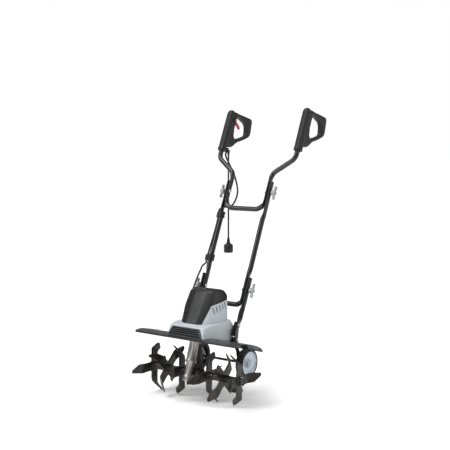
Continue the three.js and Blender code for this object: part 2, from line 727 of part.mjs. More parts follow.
// ---------------------------------------------------------------- clamp bolts and wing knobs
const clampBolt = (frame, x0, x1) => join(
  crossRod(frame, x0 - 4, x0, 6.5, 6),
  crossRod(frame, x0 - 1, x1, BOLT_R, 10),
);

function wingKnob(frame, x0) {
  const wings = [
    [-5, 6], [-7, 22], [-4, 29], [4, 29], [7, 22], [5, 6],
    [5, -6], [7, -22], [4, -29], [-4, -29], [-7, -22], [-5, -6],
  ];
  const body = join(
    crossRod(frame, x0, x0 + 16, 11, 12),
    plate(wings, x0 + 7, x0 + 16, frame),
  );
  return cut(body, crossRod(frame, x0 - 3, x0 + 9, BOLT_HOLE_R, 10));
}

addPair('lower_clamp_bolt', clampBolt(MID, 90, 131), 'steel');
addPair('upper_clamp_bolt', clampBolt(TOP, 88, 125), 'steel');
addPair('lower_knob', wingKnob(MID, 123), 'silver_plastic');
addPair('upper_knob', wingKnob(TOP, 117), 'silver_plastic');

// ---------------------------------------------------------------- D grips
// [back, rise] in the upper handle's frame
const GRIP_OUTLINE = [
  [-12, 186], [-12, 250], [-12, 335], [-9, 358], [-2, 367], [8, 371], [43, 375], [80, 384],
  [108, 390], [130, 396], [141, 394], [147, 386], [152, 360], [156, 334], [155, 322],
  [147, 312], [120, 288], [95, 269], [74, 254], [67, 242], [58, 229], [44, 218], [30, 212],
  [22, 204], [20, 186],
];
const GRIP_OPENING = [
  [37, 300], [42, 275], [52, 263], [64, 266], [97, 287], [126, 309], [129, 318], [117, 361],
  [110, 367], [98, 365], [62, 357], [37, 350],
];
// the thicker part round the tube
const GRIP_BAR = [
  [-14, 184], [-14, 215], [-14, 340], [-11, 359], [-3, 368], [10, 371], [30, 371], [34, 340],
  [33, 270], [38, 240], [24, 205], [17, 184],
];

const gripBody = cut(
  join(
    plate(GRIP_OUTLINE, GRIP_X - 10.5, GRIP_X + 10.5, TOP, { holes: [GRIP_OPENING], bevel: 3 }),
    plate(GRIP_BAR, GRIP_X - 17, GRIP_X + 17, TOP, { bevel: 5 }),
  ),
  rod(TOP.at(GRIP_X, 150), TOP.at(GRIP_X, 362), TUBE_R + GAP, 16),
);
add('grip_right', gripBody, 'black_plastic');

// ---------------------------------------------------------------- left grip and its switch
const LEFT_X = -GRIP_X;
const BUTTON_RISE = 333;
const BUTTON_BACK = 17;
const LEVER_OUTLINE = [
  [20, 323], [20, 341], [36, 341], [56, 336], [72, 329], [80, 322],
  [79, 318], [74, 318], [62, 323], [44, 327], [30, 325],
];

function leftGrip() {
  const leverPocket = block(LEFT_X - 5.5, LEFT_X + 5.5, 18, 62, 318, 344, TOP);
  const buttonBore = crossRod(TOP, LEFT_X + 5.2, LEFT_X + 30, 6.4, 16, BUTTON_RISE, BUTTON_BACK);
  const switchRoom = block(LEFT_X - 9, LEFT_X + 9.6, 12.2, 31, 262, 302, TOP);
  // two passages up from the switch room, to the lever pocket and to the button
  const leverPassage = rod(TOP.at(LEFT_X + 3, 307, 21), TOP.at(LEFT_X + 3, 298, 21), 3, 8);
  const buttonPassage = rod(
    TOP.at(LEFT_X + 9, 295, 21), TOP.at(LEFT_X + 9.5, BUTTON_RISE, 18), 3, 8);
  return cut(mirrored(gripBody), leverPocket, buttonBore, switchRoom, leverPassage,
    buttonPassage);
}

add('grip_left', leftGrip(), 'black_plastic');
add('switch_body', block(LEFT_X - 8.4, LEFT_X + 8.8, 13, 30, 263, 300, TOP), 'black_plastic');
add('lock_button', turned([[0, 9.8], [6, 9.8], [6, 20.5], [5, 22], [0, 22]],
  TOP.at(LEFT_X, BUTTON_RISE, BUTTON_BACK), ACROSS, 16), 'red_plastic');
add('switch_lever', plate(LEVER_OUTLINE, LEFT_X - 4.6, LEFT_X + 4.6, TOP, { bevel: 1 }),
  'red_plastic');

// ---------------------------------------------------------------- plug and its cable
const CABLE_R = 3.2;
const PLUG_Z = 500.5;             // lower face of the plug
const PLUG_LENGTH = 67.4;
const cable = (points, sides) => solid(swept(points, CABLE_R, sides));

const plugTop = TOP.at(LEFT_X, 208, 44);
const onPlugLine = (z) => vec(LEFT_X, plugTop.y, z);
add('plug_cable', cable(
  [onPlugLine(plugTop.z - 8), onPlugLine(700), onPlugLine(PLUG_Z + PLUG_LENGTH + 0.5)], 10,
), 'rubber');
add('power_plug', turned([
  [0, 0], [16, 0], [19, 3], [20, 8], [20, 30], [17, 35], [10, 38], [8, 66],
  [6.5, PLUG_LENGTH], [0, PLUG_LENGTH],
], onPlugLine(PLUG_Z), vec(0, 0, 1), 20), 'black_plastic');

// ---------------------------------------------------------------- motor cable and clips
const CABLE_OUT = 13.6;           // cable centre outwards from the left tube's centre
const CABLE_BACK = 4.2;
const CLIP_HALF = 9;
const CLIP_HIGH = 302;            // rise of each clip along the middle frame
const CLIP_LOW = 118;
const besideTube = (rise) => MID.at(-midX(rise) - CABLE_OUT, rise, CABLE_BACK);

function cableClip(rise) {
  const x = -midX(rise);
  const low = rise - CLIP_HALF;
  const high = rise + CLIP_HALF;
  const lobe = (end) => MID.at(x - CABLE_OUT - 0.6, end, CABLE_BACK);
  const onTube = (place) => MID.at(-midX(place), place);
  return cut(
    join(
      rod(MID.at(x, low), MID.at(x, high), TUBE_R + 4.4, 12),
      rod(lobe(low), lobe(high), CABLE_R + 4, 10),
      block(x - 15, x - 9, -4, 9, low, high, MID),
    ),
    rod(onTube(rise - 30), onTube(rise + 30), TUBE_R + 1.8, 12),
    rod(besideTube(rise - 30), besideTube(rise + 30), CABLE_R + 0.9, 8),
  );
}

const curvedCable = (points, steps) =>
  cable(new THREE.CatmullRomCurve3(points).getSpacedPoints(steps), 8);

add('cable_clip_upper', cableClip(CLIP_HIGH), 'black_plastic');
add('cable_clip_lower', cableClip(CLIP_LOW), 'black_plastic');
add('motor_cable_mid', cable(
  [CLIP_LOW - 12, CLIP_LOW, 210, CLIP_HIGH, CLIP_HIGH + 12].map(besideTube), 10), 'rubber');

// from the left grip down to the upper clip
add('motor_cable_upper', curvedCable([
  TOP.at(LEFT_X + 5, 180, 27),
  TOP.at(-171, 160, 26),
  TOP.at(-148.6, 136, 22),
  TOP.at(-122, 104, 20),
  TOP.at(-97, 72, 19),
  TOP.at(-72, 28, 18),
  TOP.at(-63, 1, 18),
  TOP.at(-64, -30, 18),
  TOP.at(-75, -54, 19),
  MID.at(-96, 345, 20),
  MID.at(-113, 338, 15),
  besideTube(CLIP_HIGH + 24),
  besideTube(CLIP_HIGH + 14),
], 24), 'rubber');

// from the lower clip into the motor cover
add('motor_cable_lower', curvedCable([
  besideTube(CLIP_LOW - 14),
  besideTube(CLIP_LOW - 27),
  vec(-110, 196, 476),
  vec(-102, 165, 447),
  vec(-92, 136, 421),
  vec(-74, 113, 402),
  vec(-65, 98.5, 396),
], 14), 'rubber');

tiller.updateMatrixWorld(true);
export default tiller;
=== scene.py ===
"""Electric garden tiller: its looks, built around the CAD frame.

Shapes are written in millimetres, with y = 0 at the tine axle and z = 0 on the ground. The motor
and tines are in front (-y), the handle leans back (+y), and the +x side is called right. PLACE
puts the shapes into the CAD frame, in metres, by the position of the CAD tine axle.
"""
from math import acos, atan2, copysign, cos, degrees, hypot, pi, radians, sin, sqrt, tan, tau

import bpy
import bmesh
from mathutils import Matrix, Vector


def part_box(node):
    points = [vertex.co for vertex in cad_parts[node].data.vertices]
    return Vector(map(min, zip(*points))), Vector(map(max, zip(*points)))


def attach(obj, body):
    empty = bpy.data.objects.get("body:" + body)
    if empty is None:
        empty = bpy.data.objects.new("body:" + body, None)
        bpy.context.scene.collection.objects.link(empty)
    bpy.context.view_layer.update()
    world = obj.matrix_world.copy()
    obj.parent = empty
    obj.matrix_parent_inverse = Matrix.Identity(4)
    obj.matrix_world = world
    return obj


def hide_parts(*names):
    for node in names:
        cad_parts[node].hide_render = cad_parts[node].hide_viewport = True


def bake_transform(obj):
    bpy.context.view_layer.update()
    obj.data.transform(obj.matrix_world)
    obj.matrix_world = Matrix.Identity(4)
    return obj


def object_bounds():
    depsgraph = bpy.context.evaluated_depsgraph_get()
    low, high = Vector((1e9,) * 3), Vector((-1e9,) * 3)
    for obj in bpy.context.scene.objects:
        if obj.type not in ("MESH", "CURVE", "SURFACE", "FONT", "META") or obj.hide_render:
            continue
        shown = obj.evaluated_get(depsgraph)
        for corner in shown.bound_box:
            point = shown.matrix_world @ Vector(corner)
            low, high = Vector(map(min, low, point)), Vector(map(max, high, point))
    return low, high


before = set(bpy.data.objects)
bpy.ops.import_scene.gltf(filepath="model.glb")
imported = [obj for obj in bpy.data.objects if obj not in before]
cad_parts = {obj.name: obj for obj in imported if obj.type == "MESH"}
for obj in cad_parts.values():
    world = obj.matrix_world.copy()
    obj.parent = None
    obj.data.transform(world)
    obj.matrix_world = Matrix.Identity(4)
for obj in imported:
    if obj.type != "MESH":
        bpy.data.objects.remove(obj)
cad_low, cad_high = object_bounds()
axle_low, axle_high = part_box("tine_axle")
PLACE = Matrix.Translation((0, (axle_low.y + axle_high.y) / 2, 0)) @ Matrix.Scale(0.001, 4)
UNPLACE = PLACE.inverted()
scene = bpy.context.scene


# ------------------------------------------------------------------ shader helpers
def rgba(value):
    """A number as an opaque grey, or a colour with its alpha."""
    return (value, value, value, 1) if isinstance(value, (int, float)) else (*value, 1)


def feed(tree, socket, value):
    """Links a node's output to a socket, or sets the socket's value."""
    if isinstance(value, bpy.types.NodeSocket):
        tree.links.new(value, socket)
    else:
        socket.default_value = rgba(value) if socket.type == "RGBA" else value


def ramp(tree, factor, positions, colours):
    node = tree.nodes.new("ShaderNodeValToRGB")
    stops = node.color_ramp.elements
    while len(stops) < len(positions):
        stops.new(0.5)
    for i, (position, colour) in enumerate(zip(positions, colours)):
        stops[i].position = position
        stops[i].color = rgba(colour)
    tree.links.new(factor, node.inputs[0])
    return node.outputs[0]


def mix(tree, first, second, factor, kind="MIX"):
    node = tree.nodes.new("ShaderNodeMix")
    node.data_type = "RGBA"
    node.blend_type = kind
    for i, value in ((6, first), (7, second), (0, factor)):
        feed(tree, node.inputs[i], value)
    return node.outputs[2]


def maths(tree, operation, first, second, clamp=False):
    node = tree.nodes.new("ShaderNodeMath")
    node.operation = operation
    node.use_clamp = clamp
    feed(tree, node.inputs[0], first)
    feed(tree, node.inputs[1], second)
    return node.outputs[0]


def texture(tree, coord, scale, detail, rough, stretch=(1, 1, 1), cells=False):
    """Noise, or with cells the distances of a Voronoi pattern."""
    mapping = tree.nodes.new("ShaderNodeMapping")
    tree.links.new(coord, mapping.inputs[0])
    mapping.inputs["Scale"].default_value = stretch
    node = tree.nodes.new("ShaderNodeTexVoronoi" if cells else "ShaderNodeTexNoise")
    if not cells:
        node.inputs["Detail"].default_value = detail
        node.inputs["Roughness"].default_value = rough
    node.inputs["Scale"].default_value = scale
    tree.links.new(mapping.outputs[0], node.inputs["Vector"])
    return node.outputs["Distance" if cells else "Fac"]


def bump(tree, height, depth, normal=None):
    """Relief of a depth in mm, on top of another relief's normal."""
    node = tree.nodes.new("ShaderNodeBump")
    node.inputs["Strength"].default_value = 1.0
    node.inputs["Distance"].default_value = 0.001 * depth
    tree.links.new(height, node.inputs["Height"])
    if normal:
        tree.links.new(normal, node.inputs["Normal"])
    return node.outputs[0]


def edge_mask(tree, coord, amount, radius=0.0012):
    """Patchy wear on edges, where the rounded normal leaves the true one."""
    rounding = tree.nodes.new("ShaderNodeBevel")
    rounding.samples = 4
    rounding.inputs[0].default_value = radius
    geometry = tree.nodes.new("ShaderNodeNewGeometry")
    dot = tree.nodes.new("ShaderNodeVectorMath")
    dot.operation = "DOT_PRODUCT"
    tree.links.new(rounding.outputs[0], dot.inputs[0])
    tree.links.new(geometry.outputs["Normal"], dot.inputs[1])
    edge = ramp(tree, dot.outputs["Value"], (0.80, 0.985), (1.0, 0.0))
    patches = texture(tree, coord, scale=90, detail=6, rough=0.7)
    patches = ramp(tree, patches, (0.42, 0.66), (0.0, 1.0))
    return maths(tree, "MULTIPLY", maths(tree, "MULTIPLY", edge, patches), amount, clamp=True)


def dust_mask(tree, coord, amount, height):
    """Patchy dust that fades out from the ground up to a height in metres."""
    split = tree.nodes.new("ShaderNodeSeparateXYZ")
    tree.links.new(coord, split.inputs[0])
    low = ramp(tree, maths(tree, "DIVIDE", split.outputs[2], height), (0.0, 1.0), (1.0, 0.0))
    patches = texture(tree, coord, scale=30, detail=8, rough=0.68)
    patches = ramp(tree, patches, (0.45, 0.75), (0.0, 1.0))
    return maths(tree, "MULTIPLY", maths(tree, "MULTIPLY", low, patches), amount, clamp=True)


SOIL = (0.16, 0.115, 0.07)


def material(name, base, rough, wear, metal=0.0, vary=0.16, vary_scale=14, rough_vary=0.08,
             grain=1400, grain_depth=0.05, cells=False, coarse_depth=0.0, coarse_scale=120,
             stretch=(1, 1, 1), wear_amount=0.5, wear_rough=0.4, wear_metal=0.0,
             dust_amount=0.0, dust_height=0.0, coat=0.0, spec=0.5, transmission=0.0, speckle=0.0):
    """Mottled base colour and roughness, worn edges, dust, and fine and coarse relief.

    vary and rough_vary spread the colour and roughness. Scales are of the noise, depths in mm.
    wear is the colour of the worn edges. stretch scales the mottling along x, y and z.
    """
    made = bpy.data.materials.new(name)
    made.use_nodes = True
    tree = made.node_tree
    coord = tree.nodes.new("ShaderNodeTexCoord").outputs["Object"]
    mottle = texture(tree, coord, vary_scale, detail=5, rough=0.6, stretch=stretch)
    colour = ramp(tree, mottle, (0.3, 0.7), (tuple(c * (1 - vary) for c in base),
                                             tuple(min(c * (1 + vary), 1) for c in base)))
    if speckle:
        specks = texture(tree, coord, scale=2600, detail=2, rough=0.5)
        specks = ramp(tree, specks, (0.42, 0.62), (1 - speckle, 1 + speckle * 0.5))
        colour = mix(tree, colour, specks, 1.0, "MULTIPLY")
    patches = texture(tree, coord, vary_scale * 5, detail=4, rough=0.6, stretch=stretch)
    roughness = ramp(tree, patches, (0.25, 0.75),
                     (max(rough - rough_vary, 0.02), min(rough + rough_vary, 1)))
    metallic = metal
    mask = edge_mask(tree, coord, wear_amount)
    colour = mix(tree, colour, wear, mask)
    roughness = mix(tree, roughness, wear_rough, mask)
    if wear_metal:
        metallic = mix(tree, metal, wear_metal, mask)
    if dust_amount:
        mask = dust_mask(tree, coord, dust_amount, dust_height)
        colour = mix(tree, colour, SOIL, mask)
        roughness = mix(tree, roughness, 0.85, mask)
    relief_normal = None
    if coarse_depth:
        swells = texture(tree, coord, coarse_scale, detail=5, rough=0.6, stretch=stretch)
        relief_normal = bump(tree, swells, coarse_depth)
    fine = texture(tree, coord, grain, detail=3, rough=0.5, cells=cells)
    values = {"Base Color": colour, "Roughness": roughness, "Metallic": metallic,
              "Specular IOR Level": spec, "Coat Weight": coat, "Coat Roughness": 0.12,
              "Transmission Weight": transmission,
              "Normal": bump(tree, fine, grain_depth, relief_normal)}
    for socket, value in values.items():
        feed(tree, tree.nodes["Principled BSDF"].inputs[socket], value)
    made.diffuse_color = (*base, 1)
    return made


MAT = {
    "tube": material("tube_black_enamel", base=(0.0065, 0.0065, 0.0072), rough=0.22,
                     rough_vary=0.06, vary=0.25, grain=700, grain_depth=0.02, wear=0.08,
                     coat=0.25, spec=0.4),
    "cover": material("cover_black_satin", base=(0.0082, 0.0083, 0.0088), rough=0.36,
                      rough_vary=0.06, grain=2200, grain_depth=0.035,
                      wear=(0.075, 0.075, 0.078), wear_amount=0.45, spec=0.3),
    "inlay": material("inlay_black_gloss", base=(0.0045, 0.0045, 0.005), rough=0.30,
                      rough_vary=0.05, vary=0.2, grain=900, grain_depth=0.008, wear=0.06,
                      coat=0.1, spec=0.25),
    "guard": material("guard_black_satin", base=(0.0120, 0.0120, 0.0125), rough=0.26, vary=0.22,
                      grain=1500, grain_depth=0.045, wear=(0.09, 0.088, 0.085),
                      wear_amount=0.6, dust_amount=0.10, dust_height=0.5, coat=0.14),
    "grip": material("grip_black_moulding", base=(0.0105, 0.0106, 0.011), rough=0.46,
                     rough_vary=0.07, vary=0.18, grain=1000, grain_depth=0.09, cells=True,
                     wear=(0.07, 0.07, 0.072), wear_amount=0.45, spec=0.3),
    "plastic": material("black_moulding", base=(0.0095, 0.0095, 0.0102), rough=0.40,
                        rough_vary=0.07, vary=0.18, grain=1600, grain_depth=0.04, wear=0.06,
                        spec=0.32),
    "louvre": material("louvre_black_moulding", base=(0.0095, 0.0095, 0.0102), rough=0.24,
                       rough_vary=0.05, vary=0.18, grain=1600, grain_depth=0.02,
                       wear=(0.10, 0.10, 0.105), wear_amount=0.8, coat=0.3),
    # lighter front lip of the louvres: a painted highlight, with real edge wear on top
    "slat_highlight": material("louvre_lip_highlight_and_wear", base=(0.055, 0.057, 0.060), rough=0.24,
                     rough_vary=0.05, vary=0.3, grain=1600, grain_depth=0.02,
                     wear=(0.20, 0.20, 0.21), wear_amount=0.9, coat=0.4),
    "housing": material("housing_grey_moulding", base=(0.40, 0.435, 0.462), rough=0.38,
                        rough_vary=0.05, vary=0.03, vary_scale=9, grain=2400, grain_depth=0.03,
                        wear=(0.72, 0.75, 0.77), wear_amount=0.35, dust_amount=0.05,
                        dust_height=0.42, speckle=0.03),
    "silver": material("silver_grey_moulding", base=(0.40, 0.45, 0.50), rough=0.28,
                       rough_vary=0.06, metal=0.4, vary=0.06, grain=1800, grain_depth=0.02,
                       wear=(0.7, 0.72, 0.74), wear_amount=0.4, dust_amount=0.15,
                       dust_height=0.25),
    "knob": material("knob_pale_moulding", base=(0.27, 0.28, 0.29), rough=0.28,
                     rough_vary=0.05, vary=0.10, grain=1800, grain_depth=0.03, wear=0.8,
                     wear_amount=0.4, transmission=0.05),
    "red": material("red_moulding", base=(0.36, 0.010, 0.022), rough=0.32, rough_vary=0.05,
                    vary=0.10, grain=1800, grain_depth=0.025, wear=(0.62, 0.10, 0.09)),
    "rubber": material("tyre_rubber", base=(0.0115, 0.0112, 0.0108), rough=0.7, rough_vary=0.1,
                       vary=0.22, grain=800, grain_depth=0.10, coarse_depth=0.05,
                       coarse_scale=220, wear=(0.06, 0.058, 0.055), dust_amount=0.35,
                       dust_height=0.2, spec=0.35),
    "cable": material("cable_rubber", base=(0.0095, 0.0095, 0.010), rough=0.45, vary=0.2,
                      grain=1500, grain_depth=0.03, wear=0.05, spec=0.45),
    "cast": material("die_cast_aluminium", base=(0.36, 0.35, 0.335), rough=0.34,
                     rough_vary=0.12, metal=0.92, vary=0.22, vary_scale=40, grain=1300,
                     grain_depth=0.09, coarse_depth=0.25, coarse_scale=160,
                     stretch=(1, 1, 0.25), wear=(0.72, 0.71, 0.69), wear_amount=0.7,
                     wear_rough=0.25, dust_amount=0.25, dust_height=0.28),
    "dark_cast": material("dark_casting", base=(0.035, 0.034, 0.032), rough=0.46,
                          rough_vary=0.12, metal=0.35, vary=0.3, vary_scale=40, grain=1100,
                          grain_depth=0.12, coarse_depth=0.3, coarse_scale=200,
                          wear=(0.22, 0.21, 0.20), wear_amount=0.7, wear_metal=0.9,
                          dust_amount=0.3, dust_height=0.25),
    "blade": material("blade_black_paint", base=(0.0135, 0.0130, 0.0122), rough=0.36,
                      rough_vary=0.1, metal=0.1, vary=0.3, vary_scale=24, grain=1200,
                      grain_depth=0.06, coarse_depth=0.14, coarse_scale=240,
                      wear=(0.27, 0.26, 0.25), wear_amount=0.65, wear_metal=0.9,
                      wear_rough=0.3, dust_amount=0.28, dust_height=0.22, coat=0.1, spec=0.42),
    "steel": material("zinc_plated_steel", base=(0.52, 0.52, 0.51), rough=0.26, rough_vary=0.1,
                      metal=0.95, vary=0.12, vary_scale=60, grain=1600, grain_depth=0.03,
                      wear=(0.8, 0.8, 0.78), wear_amount=0.6),
    "copper": material("copper_windings", base=(0.55, 0.22, 0.10), rough=0.35, metal=0.9,
                       vary=0.2, vary_scale=80, grain=900, grain_depth=0.2,
                       stretch=(1, 1, 12), wear=(0.8, 0.45, 0.3)),
    "bronze": material("worm_wheel_bronze", base=(0.50, 0.33, 0.12), rough=0.32, metal=0.95,
                       vary=0.15, vary_scale=50, grain=900, grain_depth=0.06,
                       wear=(0.8, 0.6, 0.3)),
    # near-black colour of the sheets behind the vents and grille: painted shade for the dark
    # inside
    "dark": material("painted_shade_sheet", base=(0.006, 0.006, 0.006), rough=0.7, vary=0.2, grain=900,
                     wear=0.02),
}


# ------------------------------------------------------------------ geometry helpers (mm)
def vec(x, y, z):
    return Vector((x, y, z))


class Plane:
    """A plane through (y, z) that leans back by some degrees.

    Its points are given by x, the way up along it and the way back behind it.
    """

    def __init__(self, origin, lean):
        self.origin = origin
        self.sin, self.cos = sin(radians(lean)), cos(radians(lean))
        self.up, self.rear = vec(0, self.sin, self.cos), vec(0, self.cos, -self.sin)

    def at(self, x, up, back=0.0):
        return vec(x, self.origin[0] + up * self.sin + back * self.cos,
                   self.origin[1] + up * self.cos - back * self.sin)

    def locate(self, point):
        y, z = point.y - self.origin[0], point.z - self.origin[1]
        return point.x, y * self.sin + z * self.cos, y * self.cos - z * self.sin


X = vec(1, 0, 0)
SIDES = ((1, "right"), (-1, "left"))
AXLE_Z = 100.0
LOW_JOINT, TOP_JOINT = (188.0, 403.0), (350.7, 773.0)     # (y, z) of the handle clamps
WORLD = Plane((0, 0), 0)
MID, TOP = Plane(LOW_JOINT, 23.75), Plane(TOP_JOINT, 24.5)
MOTOR = Plane((-4.0, 224.0), 17.87)
SPAN = hypot(TOP_JOINT[0] - LOW_JOINT[0], TOP_JOINT[1] - LOW_JOINT[1])
GRIP_X = 187.0
WHEEL_ARM_TOP, WHEEL = (117.0, 217.0), (175.0, 119.0)     # (y, z) of the arm's pivot and hub


def along(down):
    """A point on the motor axis, some way down from its origin."""
    return MOTOR.at(0.0, -down)


def ease(low, high, value):
    t = min(max((value - low) / (high - low), 0), 1)
    return t * t * (3 - 2 * t)


def signed_power(value, power):
    return copysign(abs(value) ** power, value)


def place(mesh, name, look, body, replaces=None, angle=34, weld=0.0, paint=None):
    """Makes the object, sharp above an angle. paint is a second look and a test of the faces.

    body is the body the object rides; given as a tuple of two bodies and two points, it is not
    used, and the object is left unattached with its transform baked.
    """
    if weld:
        bmesh.ops.remove_doubles(mesh, verts=mesh.verts, dist=weld)
    bmesh.ops.transform(mesh, matrix=PLACE, verts=mesh.verts)
    bmesh.ops.recalc_face_normals(mesh, faces=mesh.faces)
    for f in mesh.faces:
        f.smooth = True
        painted = paint and paint[1](UNPLACE @ f.calc_center_median(), f.normal)
        f.material_index = 1 if painted else 0
    for e in mesh.edges:
        e.smooth = not (len(e.link_faces) == 2 and e.calc_face_angle(0) > radians(angle))
    data = bpy.data.meshes.new(name)
    mesh.to_mesh(data)
    mesh.free()
    item = bpy.data.objects.new(name, data)
    scene.collection.objects.link(item)
    data.materials.append(MAT[look])
    if paint:
        data.materials.append(MAT[paint[0]])
    if replaces:
        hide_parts(replaces)
    if isinstance(body, str):
        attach(item, body)
    else:
        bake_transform(item)


def merge(*parts):
    whole = bmesh.new()
    for part in parts:
        data = bpy.data.meshes.new("tmp")
        part.to_mesh(data)
        whole.from_mesh(data)
        bpy.data.meshes.remove(data)
        part.free()
    return whole


def mirror(mesh):
    other = mesh.copy()
    bmesh.ops.scale(other, vec=(-1, 1, 1), verts=other.verts)
    bmesh.ops.reverse_faces(other, faces=other.faces)
    return other


def sided(mesh, side):
    """A piece drawn for the right, or its mirror image for the left."""
    return mesh if side > 0 else mirror(mesh)


def bevel(mesh, width, segments, angle):
    edges = [e for e in mesh.edges
             if len(e.link_faces) == 2 and e.calc_face_angle(0) > radians(angle)]
    if edges:
        bmesh.ops.bevel(mesh, geom=edges, offset=width, segments=segments, affect="EDGES",
                        profile=0.5, clamp_overlap=True)


def boolean(base, tools, operation="DIFFERENCE"):
    items = []
    for mesh in [base, *tools]:
        bmesh.ops.recalc_face_normals(mesh, faces=mesh.faces)
        data = bpy.data.meshes.new("tmp")
        mesh.to_mesh(data)
        mesh.free()
        item = bpy.data.objects.new("tmp", data)
        scene.collection.objects.link(item)
        items.append(item)
    for tool in items[1:]:
        modifier = items[0].modifiers.new("b", "BOOLEAN")
        modifier.operation, modifier.object, modifier.solver = operation, tool, "EXACT"
    bpy.context.view_layer.update()
    evaluated = items[0].evaluated_get(bpy.context.evaluated_depsgraph_get())
    data = bpy.data.meshes.new_from_object(evaluated)
    result = bmesh.new()
    result.from_mesh(data)
    bpy.data.meshes.remove(data)
    for item in items:
        data = item.data
        bpy.data.objects.remove(item)
        bpy.data.meshes.remove(data)
    return result


def skin(rings, closed=False, caps=True):
    """Joins rings of points (a one-point ring is a pole) into a surface."""
    mesh = bmesh.new()
    loops = [[mesh.verts.new(p) for p in ring] for ring in rings]
    count = len(loops)
    for i in range(count if closed else count - 1):
        one, two = loops[i], loops[(i + 1) % count]
        steps = max(len(one), len(two))
        for k in range(steps):
            after = (k + 1) % steps
            corners = list(dict.fromkeys([one[k % len(one)], one[after % len(one)],
                                          two[after % len(two)], two[k % len(two)]]))
            if len(corners) >= 3:
                mesh.faces.new(corners)
    if caps and not closed:
        for loop in (loops[0], loops[-1]):
            if len(loop) > 2:
                mesh.faces.new(loop)
    return mesh


def mirrored(half, middle=0.0, closed=False):
    """Half a lathe profile followed by its reflection about a middle distance."""
    return half + [(r, 2 * middle - d) for r, d in reversed(half)] + (half[:1] if closed else [])


def lathe(profile, start, way, seg, wave=None):
    """Turns (radius, distance) pairs about the line from start along way.

    wave(angle, radius, distance) gives a changed radius.
    """
    way = way.normalized()
    side = way.orthogonal().normalized()
    third = way.cross(side)
    closed = profile[0] == profile[-1]
    rings = []
    for radius, distance in profile[:-1] if closed else profile:
        if radius < 1e-6:
            rings.append([start + way * distance])
            continue
        ring = []
        for k in range(seg):
            angle = tau * k / seg
            wide = wave(angle, radius, distance) if wave else radius
            ring.append(start + way * distance + side * (wide * cos(angle))
                        + third * (wide * sin(angle)))
        rings.append(ring)
    return skin(rings, closed=closed)


def rod(start, end, radius, seg, chamfer=0.0):
    length = (end - start).length
    profile = [(0, 0), (radius, 0), (radius, length), (0, length)]
    if chamfer:
        profile = [(0, 0), (radius - chamfer, 0), (radius, chamfer),
                   (radius, length - chamfer), (radius - chamfer, length), (0, length)]
    return lathe(profile, start, end - start, seg)


def box(x0, x1, y0, y1, z0, z1):
    mesh = bmesh.new()
    bmesh.ops.create_cube(mesh, size=1)
    bmesh.ops.scale(mesh, vec=(x1 - x0, y1 - y0, z1 - z0), verts=mesh.verts)
    bmesh.ops.translate(mesh, vec=((x0 + x1) / 2, (y0 + y1) / 2, (z0 + z1) / 2),
                        verts=mesh.verts)
    return mesh


def fillet(before, corner, after, radius, least, share):
    """Centre, two spokes and turn of a corner's arc, or None if it turns less than least.

    The arc takes up no more than a share of either neighbouring edge.
    """
    one, two = before - corner, after - corner
    length_one, length_two = one.length, two.length
    one.normalize()
    two.normalize()
    turn = pi - acos(max(-1, min(1, one.dot(two))))
    if turn < least:
        return None
    reach = min(radius * tan(turn / 2), share * length_one, share * length_two)
    centre = corner + (one + two).normalized() * hypot(reach / tan(turn / 2), reach)
    return centre, corner + one * reach - centre, corner + two * reach - centre, turn


def round_outline(points, radius, steps=5):
    """Rounds the corners of a closed 2-D outline."""
    out = []
    for i, point in enumerate(points):
        point = Vector(point)
        arc = fillet(Vector(points[i - 1]), point, Vector(points[(i + 1) % len(points)]),
                     radius, least=0.06, share=0.48)
        if arc is None:
            out.append(point)
            continue
        centre, spoke, last, turn = arc
        sign = 1 if spoke.x * last.y - spoke.y * last.x > 0 else -1
        count = max(2, round(steps * turn / (pi / 2)))
        for k in range(count + 1):
            a = sign * turn * k / count
            out.append(centre + Vector((spoke.x * cos(a) - spoke.y * sin(a),
                                        spoke.x * sin(a) + spoke.y * cos(a))))
    return [(p.x, p.y) for p in out]


def round_path(points, radii, steps=14):
    """Rounds the inner corners of an open 3-D path, one radius each."""
    out = [points[0].copy()]
    for before, corner, after, radius in zip(points, points[1:], points[2:], radii):
        arc = fillet(before, corner, after, radius, least=0.02, share=0.49)
        if arc is None:
            out.append(corner.copy())
            continue
        centre, spoke, last, turn = arc
        axis = spoke.cross(last).normalized()
        count = max(3, round(steps * turn / (pi / 2)))
        for k in range(count + 1):
            out.append(centre + Matrix.Rotation(turn * k / count, 3, axis) @ spoke)
    out.append(points[-1].copy())
    return out


def extrude(points, x0, x1, plane=WORLD):
    """Outline of (back, up) pairs in a leaning plane, given thickness from x0 to x1."""
    return skin([[plane.at(x, up, back) for back, up in points] for x in (x0, x1)])


def prism(points, x0, x1, plane=WORLD, edge=0.0, segs=2, corner=0.0, steps=5):
    """The same, with rounded corners and beveled rims."""
    if corner:
        points = round_outline(points, corner, steps)
    mesh = extrude(points, x0, x1, plane)
    bmesh.ops.recalc_face_normals(mesh, faces=mesh.faces)
    if edge:
        ends = [f for f in mesh.faces if len(f.verts) == len(points) and abs(f.normal.x) > 0.9]
        edges = {e for f in ends for e in f.edges}
        bmesh.ops.bevel(mesh, geom=list(edges), offset=edge, segments=segs, affect="EDGES",
                        profile=0.5, clamp_overlap=True)
    return mesh


def slab(plane, points, near, far):
    """Outline of (x, up) pairs, given depth between two distances behind a plane."""
    return skin([[plane.at(x, up, back) for x, up in points] for back in (near, far)])


def hull(points, width=0.0, segments=3, angle=14):
    mesh = bmesh.new()
    for p in points:
        mesh.verts.new(p)
    bmesh.ops.convex_hull(mesh, input=mesh.verts)
    loose = [v for v in mesh.verts if not v.link_faces]
    if loose:
        bmesh.ops.delete(mesh, geom=loose, context="VERTS")
    bmesh.ops.dissolve_limit(mesh, angle_limit=radians(2.0), verts=mesh.verts, edges=mesh.edges)
    bmesh.ops.recalc_face_normals(mesh, faces=mesh.faces)
    if width:
        bevel(mesh, width, segments, angle)
    return mesh


def both(points):
    return [vec(s * x, y, z) for x, y, z in points for s in (1, -1)]


